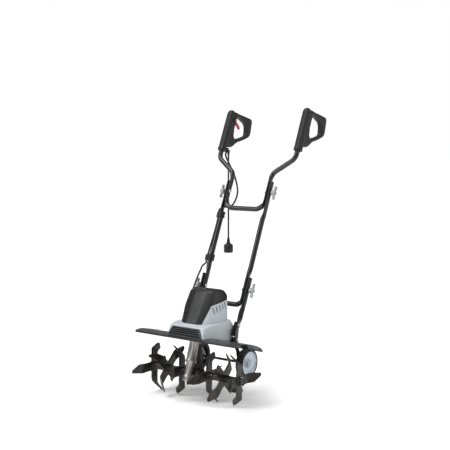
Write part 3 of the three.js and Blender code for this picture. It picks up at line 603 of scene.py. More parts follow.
def spline(points, per):
    """Catmull-Rom through the points, with per steps to a span."""
    out = []
    last = len(points) - 1
    for i in range(last):
        p0, p1, p2, p3 = points[max(i - 1, 0)], points[i], points[i + 1], points[min(i + 2, last)]
        for k in range(per):
            t = k / per
            out.append(0.5 * ((2 * p1) + (p2 - p0) * t + (2 * p0 - 5 * p1 + 4 * p2 - p3) * t * t
                              + (3 * p1 - p0 - 3 * p2 + p3) * t ** 3))
    out.append(points[-1].copy())
    return out


def frames(points):
    """Tangents and untwisted normals along a path."""
    tangents = []
    for i in range(len(points)):
        way = vec(0, 0, 0)
        if i > 0:
            way += (points[i] - points[i - 1]).normalized()
        if i < len(points) - 1:
            way += (points[i + 1] - points[i]).normalized()
        tangents.append(way.normalized())
    normals = [tangents[0].orthogonal().normalized()]
    for before, tangent in zip(tangents, tangents[1:]):
        turned = before.rotation_difference(tangent) @ normals[-1]
        normals.append((turned - tangent * turned.dot(tangent)).normalized())
    return tangents, normals


def tube(points, radius, wall=0.0, seg=28, deep=14):
    """A round bar, or with a wall a tube whose ends are open for a little way."""
    tangents, normals = frames(points)

    def ring(i, wide, shift=0.0):
        third = tangents[i].cross(normals[i])
        centre = points[i] + tangents[i] * shift
        return [centre + normals[i] * (wide * cos(tau * k / seg))
                + third * (wide * sin(tau * k / seg)) for k in range(seg)]

    rim = [(radius, 0)]
    if wall:
        bore = radius - wall
        rim = [(bore, deep), (bore, 0.4), (bore + 0.4, 0), (radius - 0.4, 0), (radius, 0.4)]
    last = len(points) - 1
    return skin([ring(0, wide, shift) for wide, shift in rim]
                + [ring(i, radius) for i in range(1, last)]
                + [ring(last, wide, -shift) for wide, shift in reversed(rim)])


def densify(points, step):
    out = [points[0]]
    for a, b in zip(points, points[1:]):
        count = max(1, int((b - a).length / step))
        out += [a.lerp(b, k / count) for k in range(1, count + 1)]
    return out


def flipped(points):
    """A path on the other side, run backwards."""
    return [vec(-p.x, p.y, p.z) for p in points][::-1]


def pressed(mesh, plane, radius, zones):
    """Flattens a tube in zones of (from up, to up, ramp, centre x, half thickness)."""
    for vert in mesh.verts:
        x, up, back = plane.locate(vert.co)
        for low, high, run, centre, half in zones:
            if abs(abs(x) - centre) > radius + 4:
                continue
            k = min(ease(low - run, low, up), 1 - ease(high, high + run, up))
            if k <= 0:
                continue
            ratio = half / radius
            x = copysign(centre + (abs(x) - centre) * (1 - k * (1 - ratio)), x)
            back *= 1 + 0.35 * k * (1 - ratio)
        vert.co = plane.at(x, up, back)
    return mesh


def hexhead(start, way, radius, height, washer=0.0):
    """Hexagon head with a chamfered top, on a washer if given its radius."""
    way = way.normalized()
    parts = []
    if washer:
        parts.append(lathe([(0, 0), (washer - 0.3, 0), (washer, 0.3), (washer, 1.3),
                            (washer - 0.3, 1.6), (0, 1.6)], start, way, 32))
        start = start + way * 1.6
    head = lathe([(0, 0), (radius, 0), (radius, height - 1.0), (radius * 0.86, height),
                  (0, height)], start, way, 6)
    bevel(head, 0.35, 2, 20)
    return merge(*parts, head)


def domehead(start, way, radius, height):
    dome = [(radius * cos(radians(a)), 0.7 + (height - 0.7) * sin(radians(a)))
            for a in (20, 40, 60, 75)]
    return lathe([(0, 0), (radius, 0), (radius, 0.7)] + dome + [(0, height)], start, way, 32)


def screwhead(start, way, radius, height):
    """Pan head with a cross recess."""
    head = lathe([(0, 0), (radius, 0), (radius, height * 0.4), (radius * 0.8, height * 0.85),
                  (radius * 0.45, height), (0, height)], start, way, 24)
    way = way.normalized()
    normal = way.orthogonal().normalized()
    cuts = []
    for long in (normal, way.cross(normal)):
        cut = bmesh.new()
        bmesh.ops.create_cube(cut, size=1)
        matrix = Matrix((long * (radius * 1.15), way.cross(long) * (radius * 0.24),
                         way * (height * 0.9))).transposed().to_4x4()
        matrix.translation = start + way * height
        bmesh.ops.transform(cut, matrix=matrix, verts=cut.verts)
        cuts.append(cut)
    return boolean(head, cuts)


# ------------------------------------------------------------------ tine guard
# (y, z) of the guard's top face, front to back
GUARD_LINE = [(-78, 243), (-76.6, 248.6), (-72, 249.6), (-38, 250.5), (-10, 246), (15, 240),
              (40, 232.5), (63, 224), (90, 211), (108, 199.6), (115, 193)]
GUARD_HALF, GUARD_THICK = 240, 3.0
BEAD_X, BEAD_HALF, BEAD_LIFT = (128, 200), 9, 1.6


def guard():
    line = spline([vec(0, y, z) for y, z in GUARD_LINE], 6)
    count = len(line)
    top = []
    for j, p in enumerate(line):
        way = (line[min(j + 1, count - 1)] - line[max(j - 1, 0)]).normalized()
        top.append((p, vec(0, -way.z, way.y)))

    def lift(x, j):
        """Two shallow stiffening beads run front to back on each wing."""
        height = 0.0
        for centre in BEAD_X:
            off = abs(abs(x) - centre)
            if off < BEAD_HALF:
                height += BEAD_LIFT * cos(off / BEAD_HALF * pi / 2) ** 2
        return height * ease(6, 14, j) * (1 - ease(count - 12, count - 5, j))

    rings = []
    for i in range(61):
        x = -GUARD_HALF + 2 * GUARD_HALF * i / 60
        upper = [vec(x, p.y, p.z) + normal * lift(x, j) for j, (p, normal) in enumerate(top)]
        lower = [vec(x, p.y, p.z) - normal * (GUARD_THICK - lift(x, j))
                 for j, (p, normal) in enumerate(top)]
        rings.append(upper + lower[::-1])
    mesh = skin(rings)
    # the plan corners, front and rear: (y of the arc's centre, direction, radius)
    for v in mesh.verts:
        for centre_y, sign, radius in ((-58, -1, 20), (86, 1, 30)):
            dx, dy = abs(v.co.x) - (GUARD_HALF - radius), (v.co.y - centre_y) * sign
            if dx > 0 and dy > 0:
                far = hypot(dx / radius, dy / radius)
                if far > 1:
                    k = 1 / far
                    v.co.x = copysign(1, v.co.x) * (GUARD_HALF - radius + dx * (k * 0.85 + 0.15))
                    v.co.y = centre_y + sign * dy * (k * 0.35 + 0.65)
    return boolean(mesh, [rod(along(-70), along(50), 19, 48)])


place(guard(), "guard", "guard", "head", "tine_guard", angle=40)

# ------------------------------------------------------------------ motor head
# Hull corners (x, y, z) of the right half of the lower and upper housing
LOWER_BODY = [(85, -66, 249), (80, -52, 289), (85, -20, 294), (88, -20, 250), (89, 60, 290),
              (82, 108, 298), (88, 126, 276), (88, 128, 205), (80, 116, 297), (89, 60, 215)]
UPPER_BODY = [(23, -38, 287), (46, -28, 288), (23, 34, 410), (47, 41, 409), (62, -10, 288),
              (61, 18, 360), (58, 46, 409), (60, 82, 417), (70, 92, 412), (76, 104, 393),
              (76, 106, 288), (36, 45, 415), (75, 62, 360), (75, 45, 288)]
# (y, z) of the surface that the housing is trimmed to above the guard
GUARD_TOP = [(-78, 243), (-76, 249.5), (-38, 250.5), (-10, 246), (15, 240), (40, 232.5),
             (63, 224), (90, 211), (113, 196), (124, 184)]
RECESS_X, RECESS_TOOL = 84.6, 9
# flat front face of the cover, between two of the upper hull's corners
FRONT = Plane((-38, 287), degrees(atan2(34 + 38, 410 - 287)))
GRILLE = Plane((-66.6, 249.6), 13)


def underside(gap):
    return prism([(y, z + gap) for y, z in GUARD_TOP]
                 + [(200, 184), (200, 100), (-200, 100), (-200, 243)], -300, 300)


def cover_room(gap):
    """The space above the joint between housing and cover."""
    return prism([(-90, 295 + gap), (-22 - gap, 295 + gap), (20 - gap, 360 + gap),
                  (106, 377 + gap), (160, 385 + gap), (160, 470), (-90, 470)], -200, 200)


def upper_body():
    return hull(both(UPPER_BODY), 6.5, 5, 9)


def upper_cavity():
    return hull(both([(x * 0.945, 45 + (y - 45) * 0.93,
                       z - 3.5 if z > 380 else z if z > 300 else z - 12)
                      for x, y, z in UPPER_BODY]))


def lower_cavity():
    return hull(both([(x * 0.925, y - 4 if y > 30 else y + 4, z - 4 if z > 270 else z)
                      for x, y, z in LOWER_BODY]))


def slots():
    """Five slanted cooling slots under the cover's edge, on both sides."""
    out = []
    for i in range(5):
        for side in (1, -1):
            slot = prism([(-2.5, -13), (2.5, -13), (2.5, 13), (-2.5, 13)], -14, 14,
                         Plane((0, 0), -14), corner=2.4, steps=4)
            bmesh.ops.translate(slot, vec=(side * 75, 28 + i * 15, 342 + i * 3.4),
                                verts=slot.verts)
            out.append(slot)
    return out


def side_recesses():
    """Shallow panel low on each side of the housing, next to the leg."""
    out = []
    for x in (RECESS_X, -(RECESS_X + RECESS_TOOL)):
        panel = prism([(44, 196), (44, 244), (62, 262), (140, 262), (140, 196)], 0, RECESS_TOOL,
                      corner=4, steps=4)
        bmesh.ops.translate(panel, vec=(x, 0, 0), verts=panel.verts)
        out.append(panel)
    return out


def housing():
    upper = boolean(upper_body(), [cover_room(0)])
    shell = boolean(hull(both(LOWER_BODY), 5.0, 4, 12), [upper], "UNION")
    shell = boolean(shell, [lower_cavity(), upper_cavity(), underside(0.4),
                            rod(along(-70), along(60), 19.5, 48),
                            prism([(-90, 251), (-38, 251), (-38, 283), (-90, 283)], -57, 57)])
    grille_room = slab(GRILLE, ((-83.5, -6), (83.5, -6), (83.5, 0.6), (62.3, 37.9),
                                (-62.3, 37.9), (-83.5, 0.6)), -9, 5.6)
    return boolean(shell, slots() + side_recesses() + [grille_room])


place(housing(), "housing", "housing", "head", "motor_housing", angle=30, weld=0.01)
# (x, y) plan of the near-black sheet behind the slots: painted shade standing in for the dark
# inside of the housing
SHADE_SHEET = [(50, 16), (65, 60), (67.5, 98), (66, 98), (63.5, 60.5), (48.5, 16.5)]
# near-black sheets behind the vent slots: painted shade, not a real part
for side, side_name in SIDES:
    place(skin([[vec(side * x, y, z) for x, y in SHADE_SHEET] for z in (322, 372)]),
          f"vent_shade_sheet_{side_name}", "dark", "head")


def cover():
    shell = boolean(upper_body(), [cover_room(0.5)], "INTERSECT")
    # The box lies clear of the cover and cuts nothing: it only adds a pass of the solver.
    shell = boolean(shell, [upper_cavity(), box(-1, 1, 300, 302, 0, 1)])
    band = round_outline([(-21, 12), (21, 12), (20.5, 31), (-20.5, 31)], 3)
    return boolean(shell, [slab(FRONT, band, -3.0, 1.6)])


place(cover(), "cover", "cover", "head", "motor_cover", angle=30, weld=0.01)
inlay = round_outline([(-20.5, 12.5), (20.5, 12.5), (20, 30.5), (-20, 30.5)], 2.6)
place(slab(FRONT, inlay, 0.7, 1.5), "cover_inlay", "inlay", "head")
place(screwhead(vec(0, 60, 414.8), vec(0, 0.1, 1), 3.4, 1.8), "cover_screw", "steel", "head")
# grommet where the motor cable enters
place(lathe([(3.6, 0), (6.4, 0), (6.4, 9), (8.4, 9.6), (8.6, 11), (7.6, 13), (5.4, 16),
             (4.8, 24), (3.6, 24.6), (3.6, 0)], vec(-70, 92, 340), vec(-1, 0.25, 0.35), 36),
      "cable_grommet", "plastic", "head")


def grille():
    """A frame with four tilted louvres and two upright bars."""
    outer = round_outline([(-83, 1.0), (83, 1.0), (62, 37.5), (-62, 37.5)], 3, 4)
    inner = round_outline([(-76, 4.0), (76, 4.0), (58.5, 34.2), (-58.5, 34.2)], 2, 4)
    rim = boolean(slab(GRILLE, outer, -2.2, 3.4), [slab(GRILLE, inner, -6, 8)])
    bevel(rim, 0.7, 2, 40)
    parts = [rim]
    for i in range(4):
        up = 5.0 + i * 7.7
        half = 76 - (up - 4) * 0.58
        # a louvre leans outwards at its foot
        louvre = extrude([(-1.9, up - 0.6), (-1.3, up - 1.1), (3.2, up + 3.2), (3.2, up + 5.3),
                          (2.0, up + 5.0), (-1.9, up + 1.1)], -half, half, GRILLE)
        bevel(louvre, 0.35, 2, 20)
        parts.append(louvre)
    for x in (-26, 26):
        parts.append(extrude([(3, 3), (3, 35), (5, 35), (5, 3)], x - 1, x + 1, GRILLE))
    return boolean(merge(*parts), [underside(0.3)])


# forward-facing faces of the louvres take the lighter slat material: a painted highlight
place(grille(), "grille", "louvre", "head", "front_grille", angle=28,
      paint=("slat_highlight", lambda centre, normal: normal.y < -0.7 and abs(centre.x) < 72))
# a near-black sheet behind the louvres: painted shade that hides the lit housing between them
place(slab(GRILLE, ((-82, 1.5), (82, 1.5), (61.5, 37), (-61.5, 37)), 3.7, 5.2),
      "grille_shade_sheet", "dark", "head")

# ------------------------------------------------------------------ worm tube and gear case
# (radius, height along the motor axis)
BARREL = [(12, 20), (26, 20), (26, 15.5), (24.5, 14), (18.2, 12), (17, 10), (17, -68),
          (17.8, -70), (20.4, -71), (21, -72), (21, -78.5), (20.4, -79.5), (16.6, -80.5),
          (16, -82), (15.5, -127), (16.2, -129), (18.4, -130), (19, -131), (19, -141),
          (18.4, -141.5), (12, -141.5), (12, 20)]
BARREL_CAP = [(0, -142), (19.3, -142), (20, -142.7), (20, -146.4), (18.6, -147.6),
              (14.6, -150.6), (13.4, -151.4), (0, -152)]
RIB_SECTION = [(16.2, -2.4), (18.6, -1.5), (18.9, 0), (18.6, 1.5), (16.2, 2.4)]  # (out, aside)
CASE_SCREWS, CASE_SCREW_R = (-70, -20, 30, 80, 128), 41


def radial(angle):
    """Outward direction from the motor axis."""
    return X * sin(radians(angle)) - MOTOR.rear * cos(radians(angle))


def on_axle(profile, seg, side=1, x=0, wave=None):
    return lathe(profile, vec(x, 0, AXLE_Z), X * side, seg, wave)


def axle_rod(half, radius, seg, chamfer=0.0):
    return rod(vec(-half, 0, AXLE_Z), vec(half, 0, AXLE_Z), radius, seg, chamfer)


def rib(angle):
    out = radial(angle)
    aside = MOTOR.up.cross(out)
    return skin([[along(down) + out * r + aside * w for r, w in RIB_SECTION]
                 for down in (-9.5, -8.5, 67, 70.5)])


def above_guard():
    """What is cut off the barrel around the guard, less the bore the barrel passes through."""
    room = boolean(prism([(y, z - 6) for y, z in GUARD_TOP]
                         + [(200, 170), (200, 400), (-200, 400), (-200, 240)], -60, 60),
                   [rod(along(-70), along(70), 17.5, 48)])
    return boolean(room, [box(-70, 70, -120, 160, 60, 100)])


barrel = boolean(lathe(BARREL, along(0), MOTOR.up, 56), [axle_rod(10.5, 34, 48)])
place(boolean(barrel, [above_guard()]), "worm_barrel", "cast", "head", "worm_tube", angle=32,
      weld=0.01)
place(boolean(merge(*[rib(a) for a in (-62, -14, 34, 146, 214)]), [above_guard()]),
      "worm_barrel_ribs", "cast", "head", angle=32)
place(lathe(BARREL_CAP, along(0), MOTOR.up, 56), "worm_barrel_cap", "cast", "head",
      "worm_tube_cap", angle=32)
place(hexhead(along(151.5), -MOTOR.up, 5.2, 3.4), "worm_cap_plug", "steel", "head")
place(merge(*[hexhead(along(79.3) + radial(a) * 18.6, -MOTOR.up, 2.3, 2.4)
              for a in (25, 115, 205, 295)]), "worm_flange_screws", "steel", "head")


def on_case(x, angle):
    """A point on the screw circle of the gear case."""
    return vec(x, CASE_SCREW_R * sin(radians(angle)), AXLE_Z - CASE_SCREW_R * cos(radians(angle)))


def gear_case():
    bosses = mirrored([(0, -30), (17.6, -30), (18.5, -29.2), (19.2, -20), (20.6, -16), (24, -13)])
    body = boolean(on_axle(mirrored([(0, -15), (37.6, -15), (39.2, -14.4), (41, -12)]), 64),
                   [on_axle(bosses, 48),
                    prism([(-4, 128), (15, 146), (17, 205), (33, 205), (36, 150), (36, 112)],
                          -9, 9, edge=1.6, segs=3)], "UNION")
    # the rim that carries the parting line, wider at its screws
    rim = on_axle(mirrored([(36, -3.2), (42.6, -3.2), (43.2, -2.6)], closed=True), 64)
    lugs = [rod(on_case(-5, a), on_case(5, a), 4.6, 24, 0.6) for a in CASE_SCREWS]
    body = boolean(body, [rim] + lugs, "UNION")
    bearing_seats = [on_axle([(0, low), (16.3, low), (16.3, high), (0, high)], 32)
                     for low, high in ((-26.3, -15.7), (15.7, 26.3))]
    barrel_seat = lathe([(0, 30), (20.2, 30), (20.4, -70), (22.2, -71), (22.2, -160), (0, -160)],
                        along(0), MOTOR.up, 48)
    return boolean(body, [axle_rod(10.5, 34, 48), axle_rod(40, 10.9, 32), *bearing_seats,
                          barrel_seat])


case = gear_case()
for side_name, x0, x1 in (("right", 0.15, 80), ("left", -80, -0.15)):
    place(boolean(case.copy(), [box(x0, x1, -120, 120, 0, 300)], "INTERSECT"),
          f"gearcase_{side_name}", "dark_cast", "head", f"gear_case_{side_name}", angle=32)
case.free()
place(merge(*[hexhead(on_case(side * 5, a), X * side, 3.0, 2.6, 3.6)
              for side in (1, -1) for a in CASE_SCREWS]), "gearcase_screws", "steel", "head")
for side, side_name in SIDES:
    place(on_axle([(10.6, 26.6), (15.9, 26.6), (15.9, 29.6), (15.2, 30.2), (11.6, 30.2),
                   (10.6, 29.2), (10.6, 26.6)], 40, side),
          f"axle_seal_{side_name}", "cable", "head")

# ------------------------------------------------------------------ tine rotor
# (x, turn in degrees, way the first blade bends, half length of the hub)
STARS = [(-203, 0, 1, 18), (-134, 45, -1, 25), (-65, 0, -1, 25),
         (65, 0, 1, 25), (134, 45, 1, 25), (203, 0, -1, 18)]
BLADE_HALF, BLADE_HALF_THICK, BLADE_BEND, BEND_ARC = 18.0, 2.5, radians(55), 13.0
FOLD_HIGH, FOLD_LOW = 73, 52     # height of the fold line at the two edges
BLADE_ROOT, BLADE_ROWS = 15, 34
# (across, height) of the blade's end
BLADE_TIP = [(-18, 108.6), (-17.2, 110.2), (-15.4, 110.8), (-8, 109.4), (-4.4, 108.0),
             (-2.6, 106.4), (16.0, 81.6), (17.4, 79.4), (18, 77.0)]
BLADE_ACROSS = [-18, -17.6, -16.4, -14, -11, -8, -4.5, 0, 4.5, 9, 12.5, 15.4, 17.4, 18]
SPACERS = ((30.6, 39.6), (90.4, 108.6), (159.4, 184.6))   # ends of the tubes between the hubs
PIN_X, CLIP_DROP = 213, 15.6
# (x, y) of the pin clip's wire around the pin
CLIP_WIRE = [(-9, 0), (4, 0), (7, -3), (6, -8), (0, -9), (-3, -5.5), (-8, -6.5)]


def tip_height(across):
    for (a, height_a), (b, height_b) in zip(BLADE_TIP, BLADE_TIP[1:]):
        if across <= b:
            return height_a + (height_b - height_a) * (across - a) / (b - a)
    return BLADE_TIP[-1][1]


def blade(lean):
    """One bent, beveled blade pointing up, its tip turned towards +x for lean 1."""
    half, arc = BLADE_HALF, BEND_ARC
    fold_start, fold_end = Vector((-half, FOLD_HIGH)), Vector((half, FOLD_LOW))
    fold = (fold_end - fold_start).normalized()
    normal = Vector((-fold.y, fold.x))
    radius = arc / BLADE_BEND

    def bent(across, height, off):
        fold_at = fold_start.y + (fold_end.y - fold_start.y) * (across + half) / (2 * half)
        over = max(0.0, height - fold_at)
        flat = Vector((across + (0.125 - 0.085 * across / half) * over, height)) - fold_start
        past = flat.dot(normal) + arc / 2
        if past <= 0:
            angle, out, up = 0.0, 0.0, flat.dot(normal)
        elif past < arc:
            angle = past / radius
            out, up = radius * (1 - cos(angle)), -arc / 2 + radius * sin(angle)
        else:
            angle = BLADE_BEND
            out = radius * (1 - cos(angle)) + (past - arc) * sin(angle)
            up = -arc / 2 + radius * sin(angle) + (past - arc) * cos(angle)
        base = fold_start + fold * flat.dot(fold) + normal * up
        face = vec(cos(angle), -normal.x * sin(angle), -normal.y * sin(angle))
        return vec(out, base.x, base.y) + face * off

    rings = []
    for across in BLADE_ACROSS:
        tip = tip_height(across)
        front, rear = [], []
        for j in range(BLADE_ROWS + 1):
            height = BLADE_ROOT + (tip - BLADE_ROOT) * (j / BLADE_ROWS)
            edge = min(across + half, half - across)
            keen = ease(0, 6.5, across + half) * 0.62 + 0.38
            # the keen edge starts a little way up from the root
            sharp = 1 - (1 - keen) * ease(26, 34, height)
            rounding = sqrt(max(0.0, 1 - (1 - min(edge, 0.9) / 0.9) ** 2)) * 0.75 + 0.25
            thin_tip = ease(-1.5, 6, max(tip - height, 0)) * 0.6 + 0.4
            off = BLADE_HALF_THICK * sharp * rounding * thin_tip
            front.append(bent(across, height, off))
            rear.append(bent(across, height, -off))
        rings.append(front + rear[::-1])
    return sided(skin(rings), lean)


def star(x, turn, flip, half):
    """Hub, flange, a beaded weld on each side of it, and four blades."""
    parts = [on_axle(mirrored([(10.4, -half), (13.4, -half), (14, -half + 0.6)], closed=True),
                     40, x=x),
             on_axle(mirrored([(13, -2.9), (25.2, -2.9), (26, -2.1)], closed=True), 48, x=x)]
    for s in (-1, 1):
        weld = [(13.6, s * 2.6), (16.9, s * 2.6), (16.6, s * 3.6), (15.6, s * 4.6),
                (14.4, s * 5.3), (13.6, s * 5.4), (13.6, s * 2.6)]
        parts.append(on_axle(weld, 72, x=x, wave=lambda angle, r, distance:
                             r + (0.35 * sin(angle * 23) if r > 14.5 else 0)))
    for k in range(4):
        part = blade((-1 if k % 2 else 1) * flip)
        bmesh.ops.rotate(part, cent=(0, 0, 0), verts=part.verts,
                         matrix=Matrix.Rotation(radians(k * 90 + turn), 3, "X"))
        bmesh.ops.translate(part, vec=(x, 0, AXLE_Z), verts=part.verts)
        parts.append(part)
    return merge(*parts)


for i, row in enumerate(STARS, 1):
    place(star(*row), f"star_{i}", "blade", "tine_shaft", f"tine_star_{i}", angle=38)
place(axle_rod(219, 10, 40, 1.2), "axle_tines", "dark_cast", "tine_shaft", "tine_axle")
for side, side_name in SIDES:
    for j, (a, b) in enumerate(SPACERS, 1):
        place(on_axle([(10.3, a), (12.6, a), (13, a + 0.4), (13, b - 0.4), (12.6, b), (10.3, b),
                       (10.3, a)], 36, side),
              f"axle_spacer_{side_name}_{j}", "dark_cast", "tine_shaft")
    x = side * PIN_X
    place(merge(rod(vec(x, 0, AXLE_Z - 17), vec(x, 0, AXLE_Z + 17), 3, 24, 0.6),
                hexhead(vec(x, 0, AXLE_Z + 15), vec(0, 0, 1), 5.5, 4.0)),
          f"pin_{side_name}", "steel", "tine_shaft", f"tine_pin_{side_name}")
    wire = [vec(x + dx, y, AXLE_Z - CLIP_DROP) for dx, y in CLIP_WIRE]
    place(tube(spline(wire, 6), 0.9, seg=10), f"pin_clip_{side_name}", "steel", "tine_shaft")

# ------------------------------------------------------------------ wheels
TYRE_X, TYRE_HALF, TREAD_BLOCKS = 116, 16, 28
HUB = vec(0, *WHEEL)
# (radius, x) of the tyre's inner half, bead to middle
TYRE = [(47.3, 100.4), (50.5, 100), (53.5, 100.6), (55.0, 102.0), (56.0, 104.0), (56.3, 106.0),
        (56.5, 108.6), (56.6, 111.4), (56.6, 113.6), (56.6, 115.6)]
# (radius, x) of the rim, its hub and its dish
RIM = [(5.4, 101), (12, 101), (14, 102), (14.5, 113), (16, 115), (40, 115), (41.6, 113.6),
       (42, 103.2), (43.2, 102.6), (47, 102.6), (47.2, 103.2), (47.2, 130.2), (46.6, 131),
       (45.0, 131.3), (43.6, 130.9), (42.6, 129.2), (41.4, 127.0), (36, 125.2), (28, 123.6),
       (20, 122.4), (16.4, 122.2), (15.2, 123.2), (14.6, 131.8), (13.6, 134.2), (11.0, 135),
       (5.4, 135), (5.4, 101)]
WHEEL_CAP = [(5.3, 135.0), (8.6, 135.0), (9, 135.5), (9, 137.6), (8.2, 138.8), (5.8, 139.8),
             (0, 140.4), (0, 137.3), (5.3, 137.3), (5.3, 135.0)]


def tread(angle, radius, x):
    """Blocks over a rounded carcass, offset between the inner and outer half."""
    if radius < 54.5:
        return radius + 0.25 * sin(angle * 42) if 50 < radius < 51 else radius
    off = abs(x - TYRE_X)
    if off < 0.6:
        return radius - 0.4
    k = (angle / tau * TREAD_BLOCKS + (0.0 if x < TYRE_X else 0.5) + off / TYRE_HALF * 0.35) % 1.0
    return radius + (1.4 if 0.06 < k < 0.62 else -1.2)


def wheel_rim():
    mesh = lathe(RIM, HUB, X, 96)
    # raised ribs across the dish
    for v in mesh.verts:
        spoke = v.co - HUB
        r, angle = hypot(spoke.y, spoke.z), atan2(spoke.z, spoke.y)
        if 18 < r < 38 and v.co.x > 118:
            k = abs(((angle / tau * 8) % 1.0) - 0.5) * 2
            v.co.x += 1.1 * ease(0.62, 0.86, k) * ease(17, 21, r) * (1 - ease(34, 39, r))
    return mesh


for side, side_name in SIDES:
    wheel = f"wheel_{side_name[0]}"
    place(sided(lathe(mirrored(TYRE, TYRE_X, closed=True), HUB, X, 168, tread), side),
          f"wheel_tyre_{side_name}", "rubber", wheel, f"tyre_{side_name}", angle=30)
    # the inward faces of the rim are black
    place(sided(wheel_rim(), side), f"wheel_rim_{side_name}", "silver", wheel,
          f"wheel_disc_{side_name}", angle=32,
          paint=("plastic", lambda centre, normal:
                 abs(centre.x) < 116 or normal.x * centre.x < 1e-4))
    place(sided(lathe(WHEEL_CAP, HUB, X, 36), side), f"wheel_cap_{side_name}", "silver", "head")
place(rod(vec(-137, *WHEEL), vec(137, *WHEEL), 5, 28, 0.6), "wheel_rod", "tube", "head",
      "wheel_axle")

ARM_Y, ARM_Z = WHEEL[0] - WHEEL_ARM_TOP[0], WHEEL[1] - WHEEL_ARM_TOP[1]
ARM_LENGTH = hypot(ARM_Y, ARM_Z)
ARM = Plane(WHEEL_ARM_TOP, degrees(atan2(ARM_Y, ARM_Z)))     # its up runs down to the hub
# (back, up) outline of the arm
STRAP = [(-12, -6), (-9, -12), (9, -12), (12, -6), (12, 6), (5, 14), (5, 54), (12, 68),
         (12, ARM_LENGTH + 6), (8, ARM_LENGTH + 12), (-8, ARM_LENGTH + 12), (-12, ARM_LENGTH + 6)]
arm = prism(STRAP, 90.2, 94.2, ARM, edge=0.7, corner=4, steps=4)
place(merge(arm, mirror(arm), tube([ARM.at(x, 24) for x in (-92, 0, 92)], 4.5, seg=24),
            *[rod(ARM.at(s * 92, 0), ARM.at(s * 114, 0), 4, 20, 0.4) for s in (1, -1)]),
      "wheel_arms", "tube", "head", "wheel_bracket")
for side, side_name in SIDES:
    place(hexhead(ARM.at(side * 112, 0), X * side, 6.0, 4.0, 7.5),
          f"wheel_arm_nut_{side_name}", "steel", "head")

# ------------------------------------------------------------------ lower legs
LEG_R, TUBE_R, BOLT_R = 10.5, 10.0, 3.5
FOOT_BOLT_UP = -143
# (back, up) outline of the foot
FOOT = [(-9, -184), (20, -184), (19, -150), (13, -128), (-6, -127), (-10, -150)]


def leg():
    ups = [-213 + 263 * i / 60 for i in range(61)]
    line = [MID.at(106.5 + 4 * ease(-95, -40, up), up, 9 * (1 - ease(-205, -150, up)))
            for up in ups]
    mesh = pressed(tube(line, LEG_R, 2.0, 32), MID, LEG_R,
                   [(-235, -136, 24, 104.6, 3.6), (-62, 60, 22, 110.6, 6.6)])
    return boolean(mesh, [rod(MID.at(60, 0), MID.at(160, 0), BOLT_R + 0.3, 24)])


for side, side_name in SIDES:
    place(sided(leg(), side), f"leg_{side_name}", "tube", "head", f"lower_leg_{side_name}",
          angle=30)
for side, side_name in SIDES:
    foot = boolean(prism(FOOT, 89.8, 100.2, MID, edge=1.2, segs=3, corner=6),
                   [rod(ARM.at(80, 0), ARM.at(130, 0), 17, 40)])
    place(sided(foot, side), f"leg_foot_{side_name}", "plastic", "head",
          f"leg_bracket_{side_name}")
    place(merge(hexhead(MID.at(side * 109.6, FOOT_BOLT_UP), X * side, 7.0, 4.2, 9.0),
                rod(MID.at(side * 90, FOOT_BOLT_UP), MID.at(side * 111, FOOT_BOLT_UP),
                    BOLT_R, 20)),
          f"leg_screw_{side_name}", "steel", "head", f"leg_bolt_{side_name}")

# ------------------------------------------------------------------ middle frame, upper handle
MID_X, MID_END = 96.8, SPAN + 47


def mid_x(up):
    """The middle frame spreads in two steps on its way up."""
    return MID_X + 4.2 * ease(40, 95, up) + 4.3 * ease(SPAN - 120, SPAN - 80, up)


def mid_tube():
    corner = round_path([MID.at(0, -61), MID.at(MID_X, -61), MID.at(MID_X, -6)], [42])
    ups = [-6 + (MID_END + 6) * i / 90 for i in range(91)]
    right = corner[1:-1] + [MID.at(mid_x(up), up) for up in ups]
    left = flipped(right)
    across = [left[-1].lerp(right[0], k / 12) for k in range(1, 12)]
    return pressed(tube(left + across + right, TUBE_R, 1.5, 32), MID, TUBE_R,
                   [(-48, 54, 22, MID_X, 6.4), (SPAN - 86, MID_END + 20, 22, 105.4, 5.4)])


def top_tube():
    corners = [(0, -72), (94, -72), (94, 50), (98, 84), (GRIP_X, 150), (GRIP_X, 358)]
    right = densify(round_path([TOP.at(x, up) for x, up in corners], [40, 60, 34, 40]), 7)
    return pressed(tube(flipped(right)[:-1] + right, TUBE_R, 1.5, 32, 14), TOP, TUBE_R,
                   [(-56, 52, 18, 93.7, 5.4)])


place(mid_tube(), "frame_middle", "tube", "frame", "mid_frame", angle=30)
place(top_tube(), "handle_tube", "tube", "handle", "upper_handle", angle=30)


# ------------------------------------------------------------------ clamp bolts and wing knobs
def clamp(plane, head_x, tip_x):
    """A dome-headed bolt with a thin collar near its tip."""
    low, high = tip_x - 9.0, tip_x - 8.0
    collar = [(BOLT_R, low), (6.2, low), (6.6, tip_x - 8.6), (6.6, high), (BOLT_R, high),
              (BOLT_R, low)]
    return merge(domehead(plane.at(head_x - 0.2, 0), -X, 7.4, 4.2),
                 rod(plane.at(head_x - 1, 0), plane.at(tip_x, 0), BOLT_R, 24, 0.5),
                 lathe(collar, plane.at(0, 0), X, 32))


